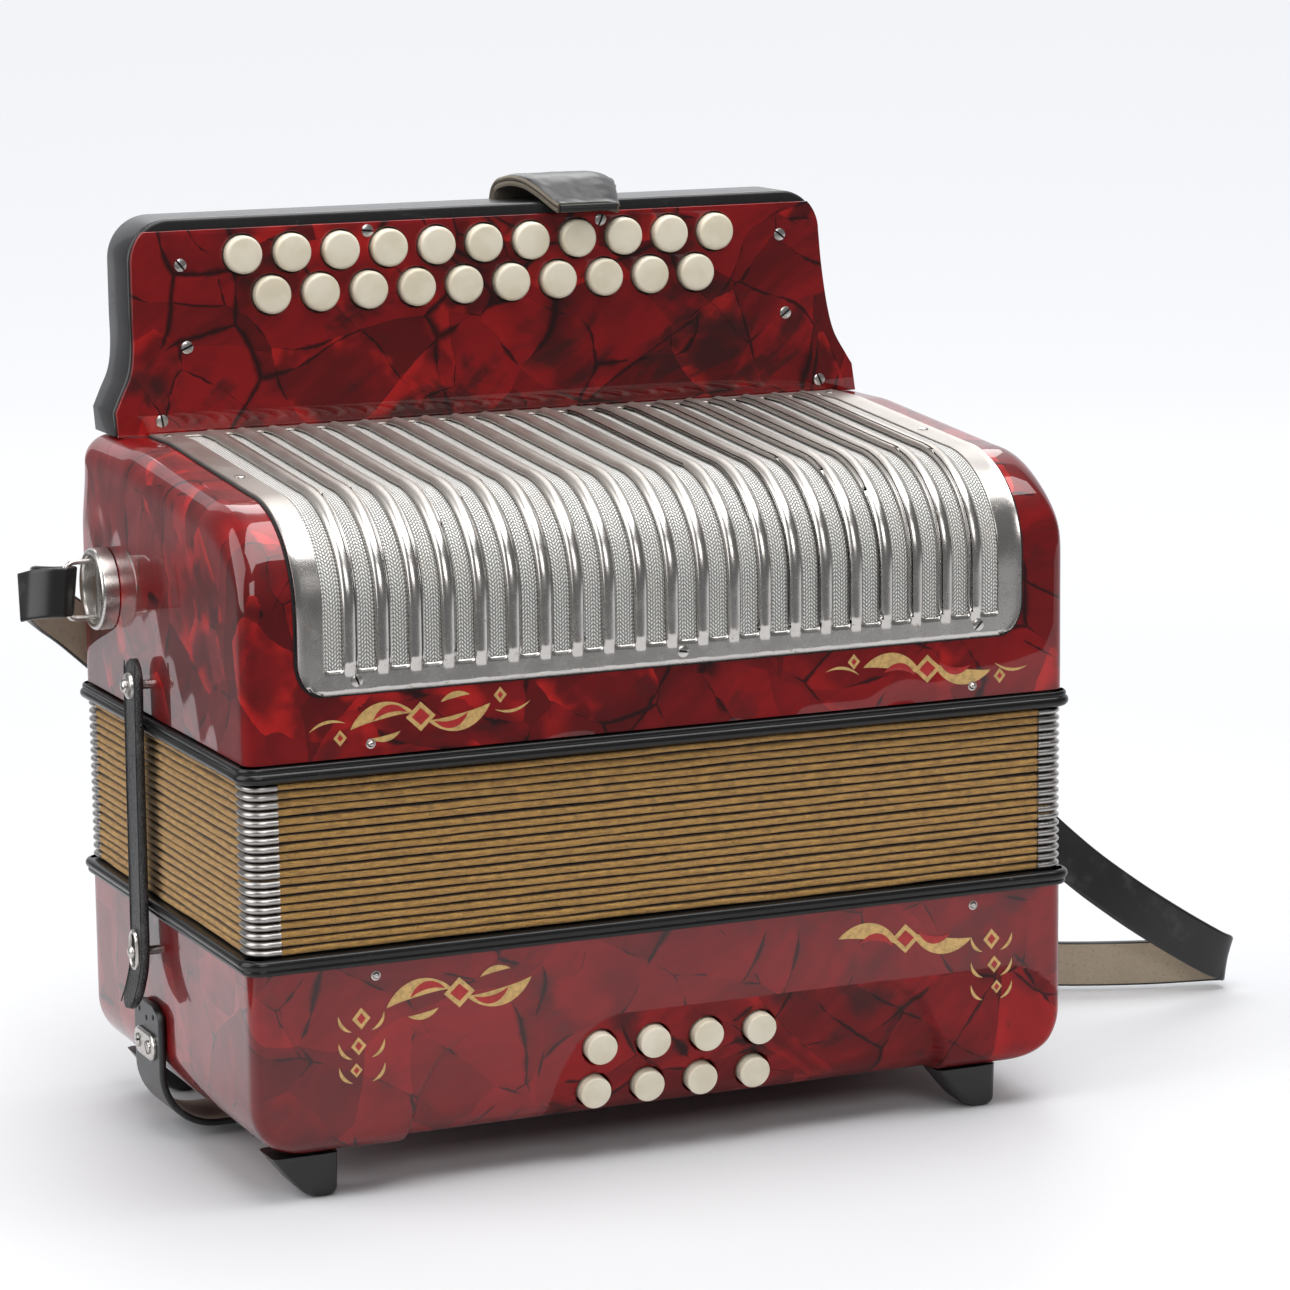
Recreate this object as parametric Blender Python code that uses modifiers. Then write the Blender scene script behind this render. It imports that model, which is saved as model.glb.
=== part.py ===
"""A two-row button accordion, closed and standing on the four feet of its bass end.

The long side of the box lies along X, the buttons and the grille face -Y, and the bellows open along +Z.
Sizes are in metres. Each sub-part is one object in the collection "button_accordion", parented to an
empty that puts the middle of the whole object's footprint on the world origin. The rigid bodies are the
bass end, which stands still, and the treble end, which slides up as the bellows open.
"""

import math

import bmesh
import bpy
import numpy as np
from mathutils import Matrix, Vector

# ---- driving dimensions, in metres ------------------------------------------------------------------
GAP = 0.0003  # between pieces that touch
CASE_WIDTH = 0.281
CASE_DEPTH = 0.164
HALF_WIDTH = CASE_WIDTH / 2
HALF_DEPTH = CASE_DEPTH / 2
CASE_EDGE = 0.005
WALL = 0.005

FOOT_HEIGHT = 0.0142
BASS_BOTTOM = FOOT_HEIGHT + GAP
BASS_TOP = 0.0735
FRAME_HEIGHT = 0.0050
FRAME_PROUD = 0.0027
FRAME_BAR = 0.017
BELLOWS_FOLDS = 20
BELLOWS_DEPTH = 0.015
LOWER_FRAME = BASS_TOP + GAP
BELLOWS_BOTTOM = LOWER_FRAME + FRAME_HEIGHT + GAP
BELLOWS_TOP = 0.1329
UPPER_FRAME = BELLOWS_TOP + GAP
TREBLE_BOTTOM = UPPER_FRAME + FRAME_HEIGHT + GAP
TREBLE_TOP = 0.2220

BASS_CORNER = 0.017  # radius of the bass end's lower left and right corners
BASS_FRONT = 0.0115  # thickness of the bass end's front, behind the recess
RECESS_TOP = 0.0515
RECESS_TILT = math.radians(9.5)
TOP_FLAT_FRONT = 0.034  # where the treble end's flat top begins to slope forward
SLOPE_FRONT = -0.045  # where the slope meets the rounded front edge
SLOPE_DROP = 0.0066
ROUND_BOTTOM = 0.184  # where the rounded front edge meets the upright front

BOARD_FRONT = 0.0566  # front face of the fingerboard's plate
PLATE_THICKNESS = 0.0018
BOARD_BASE = TREBLE_TOP + GAP
BOARD_TOP = 0.2925
PLATE_TOP = 0.2886

TREBLE_PITCH = 0.017
TREBLE_UPPER = (-0.0900, 0.2799, 11)  # x of the first button, height of the row, buttons in the row
TREBLE_LOWER = (-0.0803, 0.2663, 10)
TREBLE_CAP = 0.0063
TREBLE_PROUD = 0.0030
BASS_PITCH = 0.0185
BASS_UPPER = (-0.0250, 0.0378, 4)
BASS_LOWER = (-0.0263, 0.0231, 4)
BASS_CAP = 0.0052
BASS_PROUD = 0.0028
BUTTON_SIDES = 16
HOLE_CLEARANCE = 0.0005

GRILLE_HALF = 0.124
GRILLE_BOTTOM = 0.159
GRILLE_BACK = 0.0553
GRILLE_SHEET = 0.0008
SLOTS = 22
SLOT_PITCH = 0.01069
SLOT_WIDTH = 0.0056
SLOT_BACK = 0.044
SLOT_BOTTOM = 0.1668

STRAP_SIDE = 0.0140  # y of the bellows straps
STRAP_PEG = 0.1484  # height of the peg that a bellows strap swings on
HAND_STRAP_SIDE = 0.0165
BRACKET_SIDE = 0.052
BRACKET_HEIGHT = 0.174
SHOULDER_WIDTH = 0.017
SHOULDER_THICKNESS = 0.0022

# ---- colours: (red, green, blue), roughness, metallic ---------------------------------------------
RED_PEARL = ((0.33, 0.012, 0.016), 0.12, 0.0)
BLACK_WOOD = ((0.012, 0.012, 0.013), 0.35, 0.0)
BARE_WOOD = ((0.46, 0.31, 0.17), 0.6, 0.0)
CREAM = ((0.80, 0.74, 0.60), 0.25, 0.0)
NICKEL = ((0.62, 0.60, 0.57), 0.22, 1.0)
BELLOWS_CLOTH = ((0.34, 0.20, 0.06), 0.75, 0.0)
GRILLE_MESH = ((0.72, 0.70, 0.66), 0.6, 0.0)
BLACK_LEATHER = ((0.018, 0.018, 0.019), 0.5, 0.0)
BLACK_RUBBER = ((0.015, 0.015, 0.015), 0.45, 0.0)


# ---- scene, materials and objects -------------------------------------------------------------------
def clear_scene():
    for old in list(bpy.data.objects):
        bpy.data.objects.remove(old, do_unlink=True)


def new_collection(name, is_hidden):
    made = bpy.data.collections.new(name)
    bpy.context.scene.collection.children.link(made)
    made.hide_render = is_hidden
    return made


clear_scene()
PARTS = new_collection("button_accordion", False)
CUTTERS = new_collection("cutters", True)
ROOT = bpy.data.objects.new("accordion_origin", None)
PARTS.objects.link(ROOT)


def material(name, look):
    found = bpy.data.materials.get(name)
    if found:
        return found
    colour, roughness, metallic = look
    made = bpy.data.materials.new(name)
    made.use_nodes = True
    shader = made.node_tree.nodes["Principled BSDF"]
    shader.inputs["Base Color"].default_value = (*colour, 1.0)
    shader.inputs["Roughness"].default_value = roughness
    shader.inputs["Metallic"].default_value = metallic
    return made


def add_part(name, mesh, look, location=(0, 0, 0)):
    """An object of its own, whose mesh is given about its own origin at location."""
    part = bpy.data.objects.new(name, mesh)
    mesh.materials.clear()
    mesh.materials.append(material(name + "_finish", look))
    part.location = location
    part.parent = ROOT
    PARTS.objects.link(part)
    return part


def cutter(name, mesh):
    tool = bpy.data.objects.new(name, mesh)
    tool.display_type = "WIRE"
    tool.hide_render = True
    tool.parent = ROOT
    CUTTERS.objects.link(tool)
    return tool


def cut(part, *tools):
    for tool in tools:
        boolean = part.modifiers.new(tool.name, "BOOLEAN")
        boolean.operation = "DIFFERENCE"
        boolean.object = tool


def bevel(part, width, segments=2, angle=30):
    edge = part.modifiers.new("edges", "BEVEL")
    edge.width = width
    edge.segments = segments
    edge.limit_method = "ANGLE"
    edge.angle_limit = math.radians(angle)
    return edge


def mesh_from(bm, name, is_round=False):
    mesh = bpy.data.meshes.new(name)
    bmesh.ops.recalc_face_normals(bm, faces=bm.faces)
    bm.to_mesh(mesh)
    bm.free()
    if is_round:
        mesh.shade_smooth()
        mesh.set_sharp_from_angle(angle=math.radians(40))
    return mesh


# ---- shapes -----------------------------------------------------------------------------------------
def block(name, low, high, edge=0.0, segments=2):
    """A box between two corners, with its edges rounded when edge is above zero."""
    bm = bmesh.new()
    size = [b - a for a, b in zip(low, high)]
    middle = [(a + b) / 2 for a, b in zip(low, high)]
    place = Matrix.Translation(middle) @ Matrix.Diagonal((*size, 1))
    bmesh.ops.create_cube(bm, size=1, matrix=place)
    if edge:
        bmesh.ops.bevel(bm, geom=bm.edges, offset=edge, segments=segments, profile=0.5, affect="EDGES")
    return mesh_from(bm, name)


def rods(name, centres, axis, radius, start, end, sides=BUTTON_SIDES):
    """Round rods through the centres, each from start to end along the axis."""
    bm = bmesh.new()
    turn = Vector((0, 0, 1)).rotation_difference(Vector(axis)).to_matrix().to_4x4()
    for centre in centres:
        middle = Vector(centre) + Vector(axis) * (start + end) / 2
        bmesh.ops.create_cone(
            bm,
            cap_ends=True,
            segments=sides,
            radius1=radius,
            radius2=radius,
            depth=end - start,
            matrix=Matrix.Translation(middle) @ turn,
        )
    return mesh_from(bm, name)


def outline_mesh(name, outlines, half_thickness, axes):
    """A flat outline with its holes, given thickness both ways, as a closed mesh.

    axes turns the outline's own x, y and normal into the part's directions.
    """
    curve = bpy.data.curves.new(name + "_outline", "CURVE")
    curve.dimensions = "2D"
    curve.fill_mode = "BOTH"
    curve.extrude = half_thickness
    for outline in outlines:
        spline = curve.splines.new("POLY")
        spline.points.add(len(outline) - 1)
        spline.points.foreach_set("co", [v for x, y in outline for v in (x, y, 0, 1)])
        spline.use_cyclic_u = True
    drawn = bpy.data.objects.new(name + "_outline", curve)
    bpy.context.scene.collection.objects.link(drawn)
    seen = drawn.evaluated_get(bpy.context.evaluated_depsgraph_get())
    flat = bpy.data.meshes.new_from_object(seen)
    bpy.data.objects.remove(drawn)
    bm = bmesh.new()
    bm.from_mesh(flat)
    bpy.data.meshes.remove(flat)
    bmesh.ops.remove_doubles(bm, verts=bm.verts, dist=1e-6)
    bm.transform(Matrix(axes).transposed().to_4x4())
    return mesh_from(bm, name)


FACING_FRONT = ((1, 0, 0), (0, 0, 1), (0, -1, 0))  # outline x, y -> world X, Z
FACING_SIDE = ((0, 1, 0), (0, 0, 1), (1, 0, 0))  # outline x, y -> world Y, Z
FACING_UP = ((1, 0, 0), (0, 1, 0), (0, 0, 1))


def arc(centre, radius, start, end, steps):
    """Points on a circle, or an ellipse when radius is a pair, from one angle in degrees to another."""
    wide, high = radius if isinstance(radius, tuple) else (radius, radius)
    angles = np.radians(np.linspace(start, end, steps + 1))
    return [(centre[0] + wide * math.cos(a), centre[1] + high * math.sin(a)) for a in angles]


def rounded_box(half_x, half_y, radius, steps=3):
    """The outline of a rectangle with four round corners, anticlockwise."""
    x, y = half_x - radius, half_y - radius
    points = []
    for corner, (cx, cy) in enumerate(((x, y), (-x, y), (-x, -y), (x, -y))):
        points += arc((cx, cy), radius, 90 * corner, 90 * corner + 90, steps)
    return points


def circle(x, y, radius, sides=BUTTON_SIDES):
    return arc((x, y), radius, 0, 360, sides)[:-1]


def turned(name, profile, sides, look, location, axis):
    """A solid of revolution: a profile of (radius, height) pairs from the outer top down to the axis."""
    bm = bmesh.new()
    rim = [bm.verts.new((r, 0, h)) for r, h in profile]
    for a, b in zip(rim, rim[1:]):
        bm.edges.new((a, b))
    mesh = bpy.data.meshes.new(name)
    bm.to_mesh(mesh)
    bm.free()
    part = add_part(name, mesh, look, location)
    part.rotation_mode = "QUATERNION"
    part.rotation_quaternion = Vector((0, 0, 1)).rotation_difference(Vector(axis))
    screw = part.modifiers.new("turning", "SCREW")
    screw.steps = sides
    screw.render_steps = sides
    screw.use_merge_vertices = True
    screw.merge_threshold = 0.00001
    screw.use_smooth_shade = True
    return part


def smooth_route(stations, count):
    """A Catmull-Rom curve through rows of numbers, read at count even steps."""
    rows = np.array(stations, float)
    rows = np.vstack([2 * rows[0] - rows[1], rows, 2 * rows[-1] - rows[-2]])
    at = np.linspace(0, len(stations) - 1, count)
    k = np.minimum(at.astype(int), len(stations) - 2)
    t = (at - k)[:, None]
    a, b, c, d = rows[k], rows[k + 1], rows[k + 2], rows[k + 3]
    return 0.5 * (2 * b + (c - a) * t + (2 * a - 5 * b + 4 * c - d) * t**2 + (3 * b - a - 3 * c + d) * t**3)


def ribbon(name, stations, width, thickness, look, count, location=(0, 0, 0)):
    """A flat strap swept along stations of a centre and a width direction: x, y, z, then the direction."""
    rows = smooth_route(stations, count)
    centre = rows[:, :3]
    along = np.gradient(centre, axis=0)
    along /= np.linalg.norm(along, axis=1)[:, None]
    across = rows[:, 3:] - (rows[:, 3:] * along).sum(1)[:, None] * along
    across /= np.linalg.norm(across, axis=1)[:, None]
    bm = bmesh.new()
    bmesh.ops.create_grid(bm, x_segments=count - 1, y_segments=1, size=0.5)
    for vert in bm.verts:
        step = int(round((vert.co.x + 0.5) * (count - 1)))
        side = 1 if vert.co.y > 0 else -1
        vert.co = Vector(centre[step] + side * across[step] * width / 2) - Vector(location)
    part = add_part(name, mesh_from(bm, name), look, location)
    solid = part.modifiers.new("thickness", "SOLIDIFY")
    solid.thickness = thickness
    solid.offset = 0
    return part


# ---- the treble end's outline, seen from its side ---------------------------------------------------
def case_top_line(inset, steps=7):
    """(y, z) points over the treble end's top, from the back of the flat to the foot of the round edge."""
    slope_height = TREBLE_TOP - SLOPE_DROP
    centre = (SLOPE_FRONT, ROUND_BOTTOM)
    radii = (SLOPE_FRONT + HALF_DEPTH - inset, slope_height - ROUND_BOTTOM - inset)
    flat = [(HALF_DEPTH - inset - CASE_EDGE, TREBLE_TOP - inset), (TOP_FLAT_FRONT, TREBLE_TOP - inset)]
    return flat + arc(centre, radii, 90, 180, steps)


def treble_profile(inset, bottom):
    back = HALF_DEPTH - inset
    return [(back, bottom), (back, TREBLE_TOP - inset - CASE_EDGE), *case_top_line(inset), (inset - HALF_DEPTH, bottom)]


def skin_point(y_or_z, offset):
    """The point on the treble end's top and front skin, and its outward normal's offset.

    A value of ("y", v) reads the flat or sloped top at y = v, ("turn", angle) the round edge at that
    angle from straight up, and ("z", v) the upright front at height v.
    """
    kind, value = y_or_z
    slope_height = TREBLE_TOP - SLOPE_DROP
    if kind == "z":
        return (-HALF_DEPTH - offset, value)
    if kind == "turn":
        wide = SLOPE_FRONT + HALF_DEPTH + offset
        high = slope_height - ROUND_BOTTOM + offset
        angle = math.radians(value)
        return (SLOPE_FRONT - wide * math.sin(angle), ROUND_BOTTOM + high * math.cos(angle))
    run = max(0.0, TOP_FLAT_FRONT - value) / (TOP_FLAT_FRONT - SLOPE_FRONT)
    return (value, TREBLE_TOP - SLOPE_DROP * run + offset)


ROUND_TURNS = [("turn", angle) for angle in (0, 12, 25, 38, 52, 66, 78, 90)]


# ---- bass end ---------------------------------------------------------------------------------------
def bass_outline(inset, top, corner):
    x, bottom = HALF_WIDTH - inset, BASS_BOTTOM + inset
    left = arc((corner - x, bottom + corner), corner, 180, 270, 5)
    right = arc((x - corner, bottom + corner), corner, 270, 360, 5)
    return left + right + [(x, top), (-x, top)]


def on_recess(height, proud):
    """(y, z) on the tilted panel that the bass buttons stand in, proud of it along its own normal."""
    drop = RECESS_TOP - height
    y = -HALF_DEPTH + drop * math.tan(RECESS_TILT)
    return (y - proud * math.cos(RECESS_TILT), height - proud * math.sin(RECESS_TILT))


BASS_AXIS = (0, -math.cos(RECESS_TILT), -math.sin(RECESS_TILT))
BASS_SPOTS = [
    (first + BASS_PITCH * i, *on_recess(height, 0))
    for first, height, count in (BASS_UPPER, BASS_LOWER)
    for i in range(count)
]


def make_bass_case():
    shell = outline_mesh("bass_case", [bass_outline(0, BASS_TOP, BASS_CORNER)], HALF_DEPTH, FACING_FRONT)
    case = add_part("bass_case", shell, RED_PEARL)
    bevel(case, 0.004, 2, 50)
    hollow = bass_outline(WALL, BASS_TOP + 0.02, BASS_CORNER - WALL)
    inner_half = (CASE_DEPTH - BASS_FRONT - WALL) / 2
    inside = outline_mesh("bass_inside", [hollow], inner_half, FACING_FRONT)
    inside.transform(Matrix.Translation((0, (BASS_FRONT - WALL) / 2, 0)))
    inside = cutter("bass_inside", inside)
    outline = [(-0.094, -0.075), (0.100, -0.075), (0.097, -0.030), (0.088, -0.012), (0.075, 0.0), (-0.069, 0.0)]
    outline += [(-0.080, -0.008), (-0.089, -0.022)]
    scoop = outline_mesh("bass_recess", [outline], 0.02, FACING_FRONT)
    scoop.transform(Matrix.Translation((0, -0.02, 0)))
    scoop.transform(Matrix.Rotation(RECESS_TILT, 4, "X"))
    scoop.transform(Matrix.Translation((0, -HALF_DEPTH, RECESS_TOP)))
    holes = rods("bass_holes", BASS_SPOTS, BASS_AXIS, BASS_CAP + HOLE_CLEARANCE, -0.02, 0.02)
    air = rods("air_hole", [AIR_SPOT], (0, 1, 0), AIR_CAP + HOLE_CLEARANCE, -0.01, 0.01)
    cut(case, inside, cutter("bass_recess", scoop), cutter("bass_holes", holes), cutter("air_hole", air))


def make_feet():
    """Wedge feet: an upright inner end, a slope towards the other end, and a flat underside."""
    outline = [(0.0105, 0), (0.0105, FOOT_HEIGHT), (-0.0110, FOOT_HEIGHT), (-0.0110, FOOT_HEIGHT - 0.002), (0.0025, 0)]
    for name, x, y in (
        ("foot_front_left", -0.1225, -0.0700),
        ("foot_front_right", 0.1075, -0.0700),
        ("foot_rear_left", -0.1225, 0.0640),
        ("foot_rear_right", 0.1075, 0.0640),
    ):
        mesh = outline_mesh(name, [outline], 0.0075, FACING_FRONT)
        bevel(add_part(name, mesh, BLACK_RUBBER, (x, y, 0)), 0.0015, 2, 25)


def press_button(name, spot, axis, cap, proud, stem, back):
    """A button: a domed cap above its panel and a thinner stem behind it, pressed along -axis."""
    profile = [
        (0, proud),
        (cap * 0.55, proud - 0.0001),
        (cap * 0.88, proud - 0.0005),
        (cap, proud - 0.0014),
        (cap, -0.0040),
        (stem, -0.0040),
        (stem, back),
        (0, back),
    ]
    return turned(name, profile, BUTTON_SIDES, CREAM, spot, axis)


def make_bass_buttons():
    for number, spot in enumerate(BASS_SPOTS, 1):
        press_button(f"bass_button_{number}", spot, BASS_AXIS, BASS_CAP, BASS_PROUD, 0.0022, -0.022)


AIR_SPOT = (0.040, HALF_DEPTH, 0.033)
AIR_CAP = 0.0070


def make_air_button():
    press_button("air_button", AIR_SPOT, (0, 1, 0), AIR_CAP, 0.0045, 0.0025, -0.018)


def make_soundboard(name, bottom, thickness, front, windows):
    """A board across the inside of a case, with a row of air windows under the reeds."""
    low = (-HALF_WIDTH + WALL + GAP, front, bottom)
    high = (HALF_WIDTH - WALL - GAP, HALF_DEPTH - WALL - GAP, bottom + thickness)
    board = add_part(name, block(name, low, high), BARE_WOOD)
    bm = bmesh.new()
    for x, y, wide, deep in windows:
        place = Matrix.Translation((x, y, bottom)) @ Matrix.Diagonal((wide, deep, 0.05, 1))
        bmesh.ops.create_cube(bm, size=1, matrix=place)
    cut(board, cutter(name + "_windows", mesh_from(bm, name + "_windows")))


def make_reed_block(name, x_half, y, half_deep, bottom, top, chambers, is_hanging):
    """A wooden block, narrower at its free edge, with a row of reed chambers cut into both faces."""
    root, tip = (top, bottom) if is_hanging else (bottom, top)
    outline = [(-half_deep, root), (half_deep, root), (half_deep * 0.72, tip), (-half_deep * 0.72, tip)]
    mesh = outline_mesh(name, [outline], x_half, FACING_SIDE)
    mesh.transform(Matrix.Translation((0, y, 0)))
    part = add_part(name, mesh, BARE_WOOD)
    pitch = 2 * x_half / chambers
    bm = bmesh.new()
    for i in range(chambers):
        x = -x_half + pitch * (i + 0.5)
        for side in (-1, 1):
            place = Matrix.Translation((x, y + side * half_deep, (bottom + top) / 2))
            place = place @ Matrix.Diagonal((pitch * 0.6, half_deep * 0.9, (top - bottom) * 0.6, 1))
            bmesh.ops.create_cube(bm, size=1, matrix=place)
    cut(part, cutter(name + "_chambers", mesh_from(bm, name + "_chambers")))


# ---- bellows and its frames -------------------------------------------------------------------------
def make_frame(name, bottom):
    outer = rounded_box(HALF_WIDTH + FRAME_PROUD, HALF_DEPTH + FRAME_PROUD, 0.007, 4)
    inner = rounded_box(HALF_WIDTH - FRAME_BAR, HALF_DEPTH - FRAME_BAR, 0.004, 2)
    mesh = outline_mesh(name, [outer, inner], FRAME_HEIGHT / 2, FACING_UP)
    mesh.transform(Matrix.Translation((0, 0, bottom + FRAME_HEIGHT / 2)))
    bevel(add_part(name, mesh, BLACK_WOOD), 0.0016, 2, 60)


def make_bellows():
    """A tube with round corners: a zigzag of folds outside, and a plain wall inside."""
    crest, valley = 0.0006, 0.0034
    pitch = (BELLOWS_TOP - BELLOWS_BOTTOM) / BELLOWS_FOLDS
    walls = [(valley, BELLOWS_BOTTOM)]
    for fold in range(BELLOWS_FOLDS):
        walls += [(crest, BELLOWS_BOTTOM + pitch * (fold + 0.5)), (valley, BELLOWS_BOTTOM + pitch * (fold + 1))]
    walls += [(BELLOWS_DEPTH, BELLOWS_TOP), (BELLOWS_DEPTH, BELLOWS_BOTTOM)]
    corners = len(rounded_box(1, 1, 0.1, 1))
    bm = bmesh.new()
    rings = []
    for inset, height in walls:
        outline = rounded_box(HALF_WIDTH - inset, HALF_DEPTH - inset, 0.006, 1)
        rings.append([bm.verts.new((x, y, height)) for x, y in outline])
    for below, above in zip(rings, rings[1:] + rings[:1]):
        for i in range(corners):
            j = (i + 1) % corners
            bm.faces.new((below[i], below[j], above[j], above[i]))
    add_part("bellows", mesh_from(bm, "bellows"), BELLOWS_CLOTH, (0, 0, 0))


# ---- treble end -------------------------------------------------------------------------------------
def make_treble_case():
    case = add_part(
        "treble_case",
        outline_mesh("treble_case", [treble_profile(0, TREBLE_BOTTOM)], HALF_WIDTH, FACING_SIDE),
        RED_PEARL,
    )
    bevel(case, CASE_EDGE, 2, 50)
    hollow = outline_mesh(
        "treble_inside", [treble_profile(WALL, TREBLE_BOTTOM - 0.01)], HALF_WIDTH - WALL, FACING_SIDE
    )
    window = block("grille_window", (-0.116, -0.10, 0.1665), (0.116, 0.0480, 0.24))
    levers = block("lever_slot", (-0.104, 0.0630, 0.21), (0.094, 0.0760, 0.24))
    cut(case, cutter("treble_inside", hollow), cutter("grille_window", window), cutter("lever_slot", levers))


def skin_sheet(name, half_width, x_edges, path, thickness, look, drop_face):
    """A sheet bent over the treble end's top and front: a grid whose columns stand at x_edges and whose
    rows stand at the skin points of path. drop_face(column, row) says which cells are open."""
    bm = bmesh.new()
    columns, rows = len(x_edges) - 1, len(path) - 1
    bmesh.ops.create_grid(bm, x_segments=columns, y_segments=rows, size=0.5)
    open_cells = []
    for face in bm.faces:
        middle = face.calc_center_median()
        column, row = int((middle.x + 0.5) * columns), int((middle.y + 0.5) * rows)
        if drop_face(column, row):
            open_cells.append(face)
    for vert in bm.verts:
        column = int(round((vert.co.x + 0.5) * columns))
        row = int(round((vert.co.y + 0.5) * rows))
        y, z = path[row]
        vert.co = (x_edges[column] * half_width, y, z)
    bmesh.ops.delete(bm, geom=open_cells, context="FACES")
    part = add_part(name, mesh_from(bm, name), look)
    solid = part.modifiers.new("thickness", "SOLIDIFY")
    solid.thickness = thickness
    solid.offset = 0
    return part


def make_grille():
    middle = GAP + GRILLE_SHEET / 2
    places = [("y", GRILLE_BACK), ("y", SLOT_BACK), ("y", TOP_FLAT_FRONT), *ROUND_TURNS]
    places += [("z", SLOT_BOTTOM), ("z", GRILLE_BOTTOM)]
    path = [skin_point(place, middle) for place in places]
    edges = [-GRILLE_HALF]
    for slot in range(SLOTS):
        centre = SLOT_PITCH * (slot - (SLOTS - 1) / 2)
        edges += [centre - SLOT_WIDTH / 2, centre + SLOT_WIDTH / 2]
    edges.append(GRILLE_HALF)
    last = len(path) - 2
    skin_sheet(
        "grille", 1, edges, path, GRILLE_SHEET, NICKEL, lambda column, row: column % 2 == 1 and 0 < row < last
    )


def make_grille_cloth():
    """The woven cloth behind the slots, inside the window of the case."""
    middle = -0.0005
    places = [("y", 0.0475), ("y", TOP_FLAT_FRONT), *ROUND_TURNS, ("z", 0.1669)]
    path = [skin_point(place, middle) for place in places]
    skin_sheet("grille_cloth", 0.1155, [-1, 1], path, 0.0004, GRILLE_MESH, lambda column, row: False)


def board_outline(top, inset):
    """The fingerboard's outline: upright sides that flare at the foot, and round top corners."""
    left = [(-0.1343, BOARD_BASE), (-0.1349, 0.2300), (-0.1322, 0.2362), (-0.1294, 0.2430), (-0.1284, 0.2510)]
    right = [(0.1238, 0.2520), (0.1264, 0.2426), (0.1318, 0.2339), (0.1330, 0.2320), (0.1345, BOARD_BASE)]
    corner = 0.014
    top_left = arc((-0.1286 + corner, top - corner), corner, 180, 90, 4)
    top_right = arc((0.1204 - corner, top - corner), corner, 90, 0, 4)
    outline = left + top_left + top_right + right
    return [(x - math.copysign(inset, x), max(z, BOARD_BASE)) for x, z in outline]


def make_fingerboard():
    front = BOARD_FRONT + PLATE_THICKNESS + GAP
    half = (HALF_DEPTH - front) / 2
    mesh = outline_mesh("fingerboard_body", [board_outline(BOARD_TOP, 0)], half, FACING_FRONT)
    mesh.transform(Matrix.Translation((0, front + half, 0)))
    body = add_part("fingerboard_body", mesh, BLACK_WOOD)
    bevel(body, 0.0012, 1, 50)
    pocket = block("board_pocket", (-0.104, front - 0.01, 0.21), (0.094, HALF_DEPTH - 0.003, 0.2870))
    cut(body, cutter("board_pocket", pocket))


TREBLE_SPOTS = [
    (first + TREBLE_PITCH * i, BOARD_FRONT, height)
    for first, height, count in (TREBLE_UPPER, TREBLE_LOWER)
    for i in range(count)
]


def make_fingerboard_plate():
    holes = [circle(x, z, TREBLE_CAP + HOLE_CLEARANCE) for x, _, z in TREBLE_SPOTS]
    outline = board_outline(PLATE_TOP, 0.0012)
    mesh = outline_mesh("fingerboard_plate", [outline, *holes], PLATE_THICKNESS / 2, FACING_FRONT)
    mesh.transform(Matrix.Translation((0, BOARD_FRONT + PLATE_THICKNESS / 2, 0)))
    add_part("fingerboard_plate", mesh, RED_PEARL)


def make_treble_buttons():
    for number, spot in enumerate(TREBLE_SPOTS, 1):
        name = f"treble_button_{number:02d}"
        press_button(name, spot, (0, -1, 0), TREBLE_CAP, TREBLE_PROUD, 0.0022, -0.013)


def make_lever_rail():
    """The comb that the treble levers turn in: a bar with one finger between each pair of levers."""
    first, pitch = -0.0995, TREBLE_PITCH / 2
    low, root, tip = 0.2300, 0.2380, 0.2520
    outline = [(0.0930, low), (-0.1035, low), (-0.1035, tip)]
    for i in range(23):
        x = first + pitch * i
        outline += [(x, tip), (x, root), (x + pitch * 0.55, root), (x + pitch * 0.55, tip)]
    outline += [(0.0930, tip)]
    mesh = outline_mesh("treble_lever_rail", [outline[::-1]], 0.0045, FACING_FRONT)
    mesh.transform(Matrix.Translation((0, 0.0705, 0)))
    add_part("treble_lever_rail", mesh, BARE_WOOD)


def make_thumb_strap():
    """A doubled leather band from the back of the fingerboard over its top, folded at its front end."""
    line = [
        (HALF_DEPTH + 0.0022, 0.2790),
        (HALF_DEPTH + 0.0022, 0.2890),
        (HALF_DEPTH + 0.0015, 0.2950),
        (0.0785, 0.2990),
        (0.0715, 0.3008),
        (0.0640, 0.3000),
        (0.0580, 0.2972),
        (0.0545, 0.2935),
        (0.0532, 0.2915),
    ]
    count = len(line)
    bm = bmesh.new()
    bmesh.ops.create_grid(bm, x_segments=1, y_segments=count - 1, size=0.5)
    for vert in bm.verts:
        y, z = line[int(round((vert.co.y + 0.5) * (count - 1)))]
        forward = min(1.0, max(0.0, (HALF_DEPTH - y) / (HALF_DEPTH - line[-1][0])))
        left, right = 0.0083 + 0.0120 * forward, 0.0536 - 0.0120 * forward
        vert.co = (left if vert.co.x < 0 else right, y, z)
    part = add_part("thumb_strap", mesh_from(bm, "thumb_strap"), BLACK_LEATHER)
    solid = part.modifiers.new("thickness", "SOLIDIFY")
    solid.thickness = 0.0034
    solid.offset = 0


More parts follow.
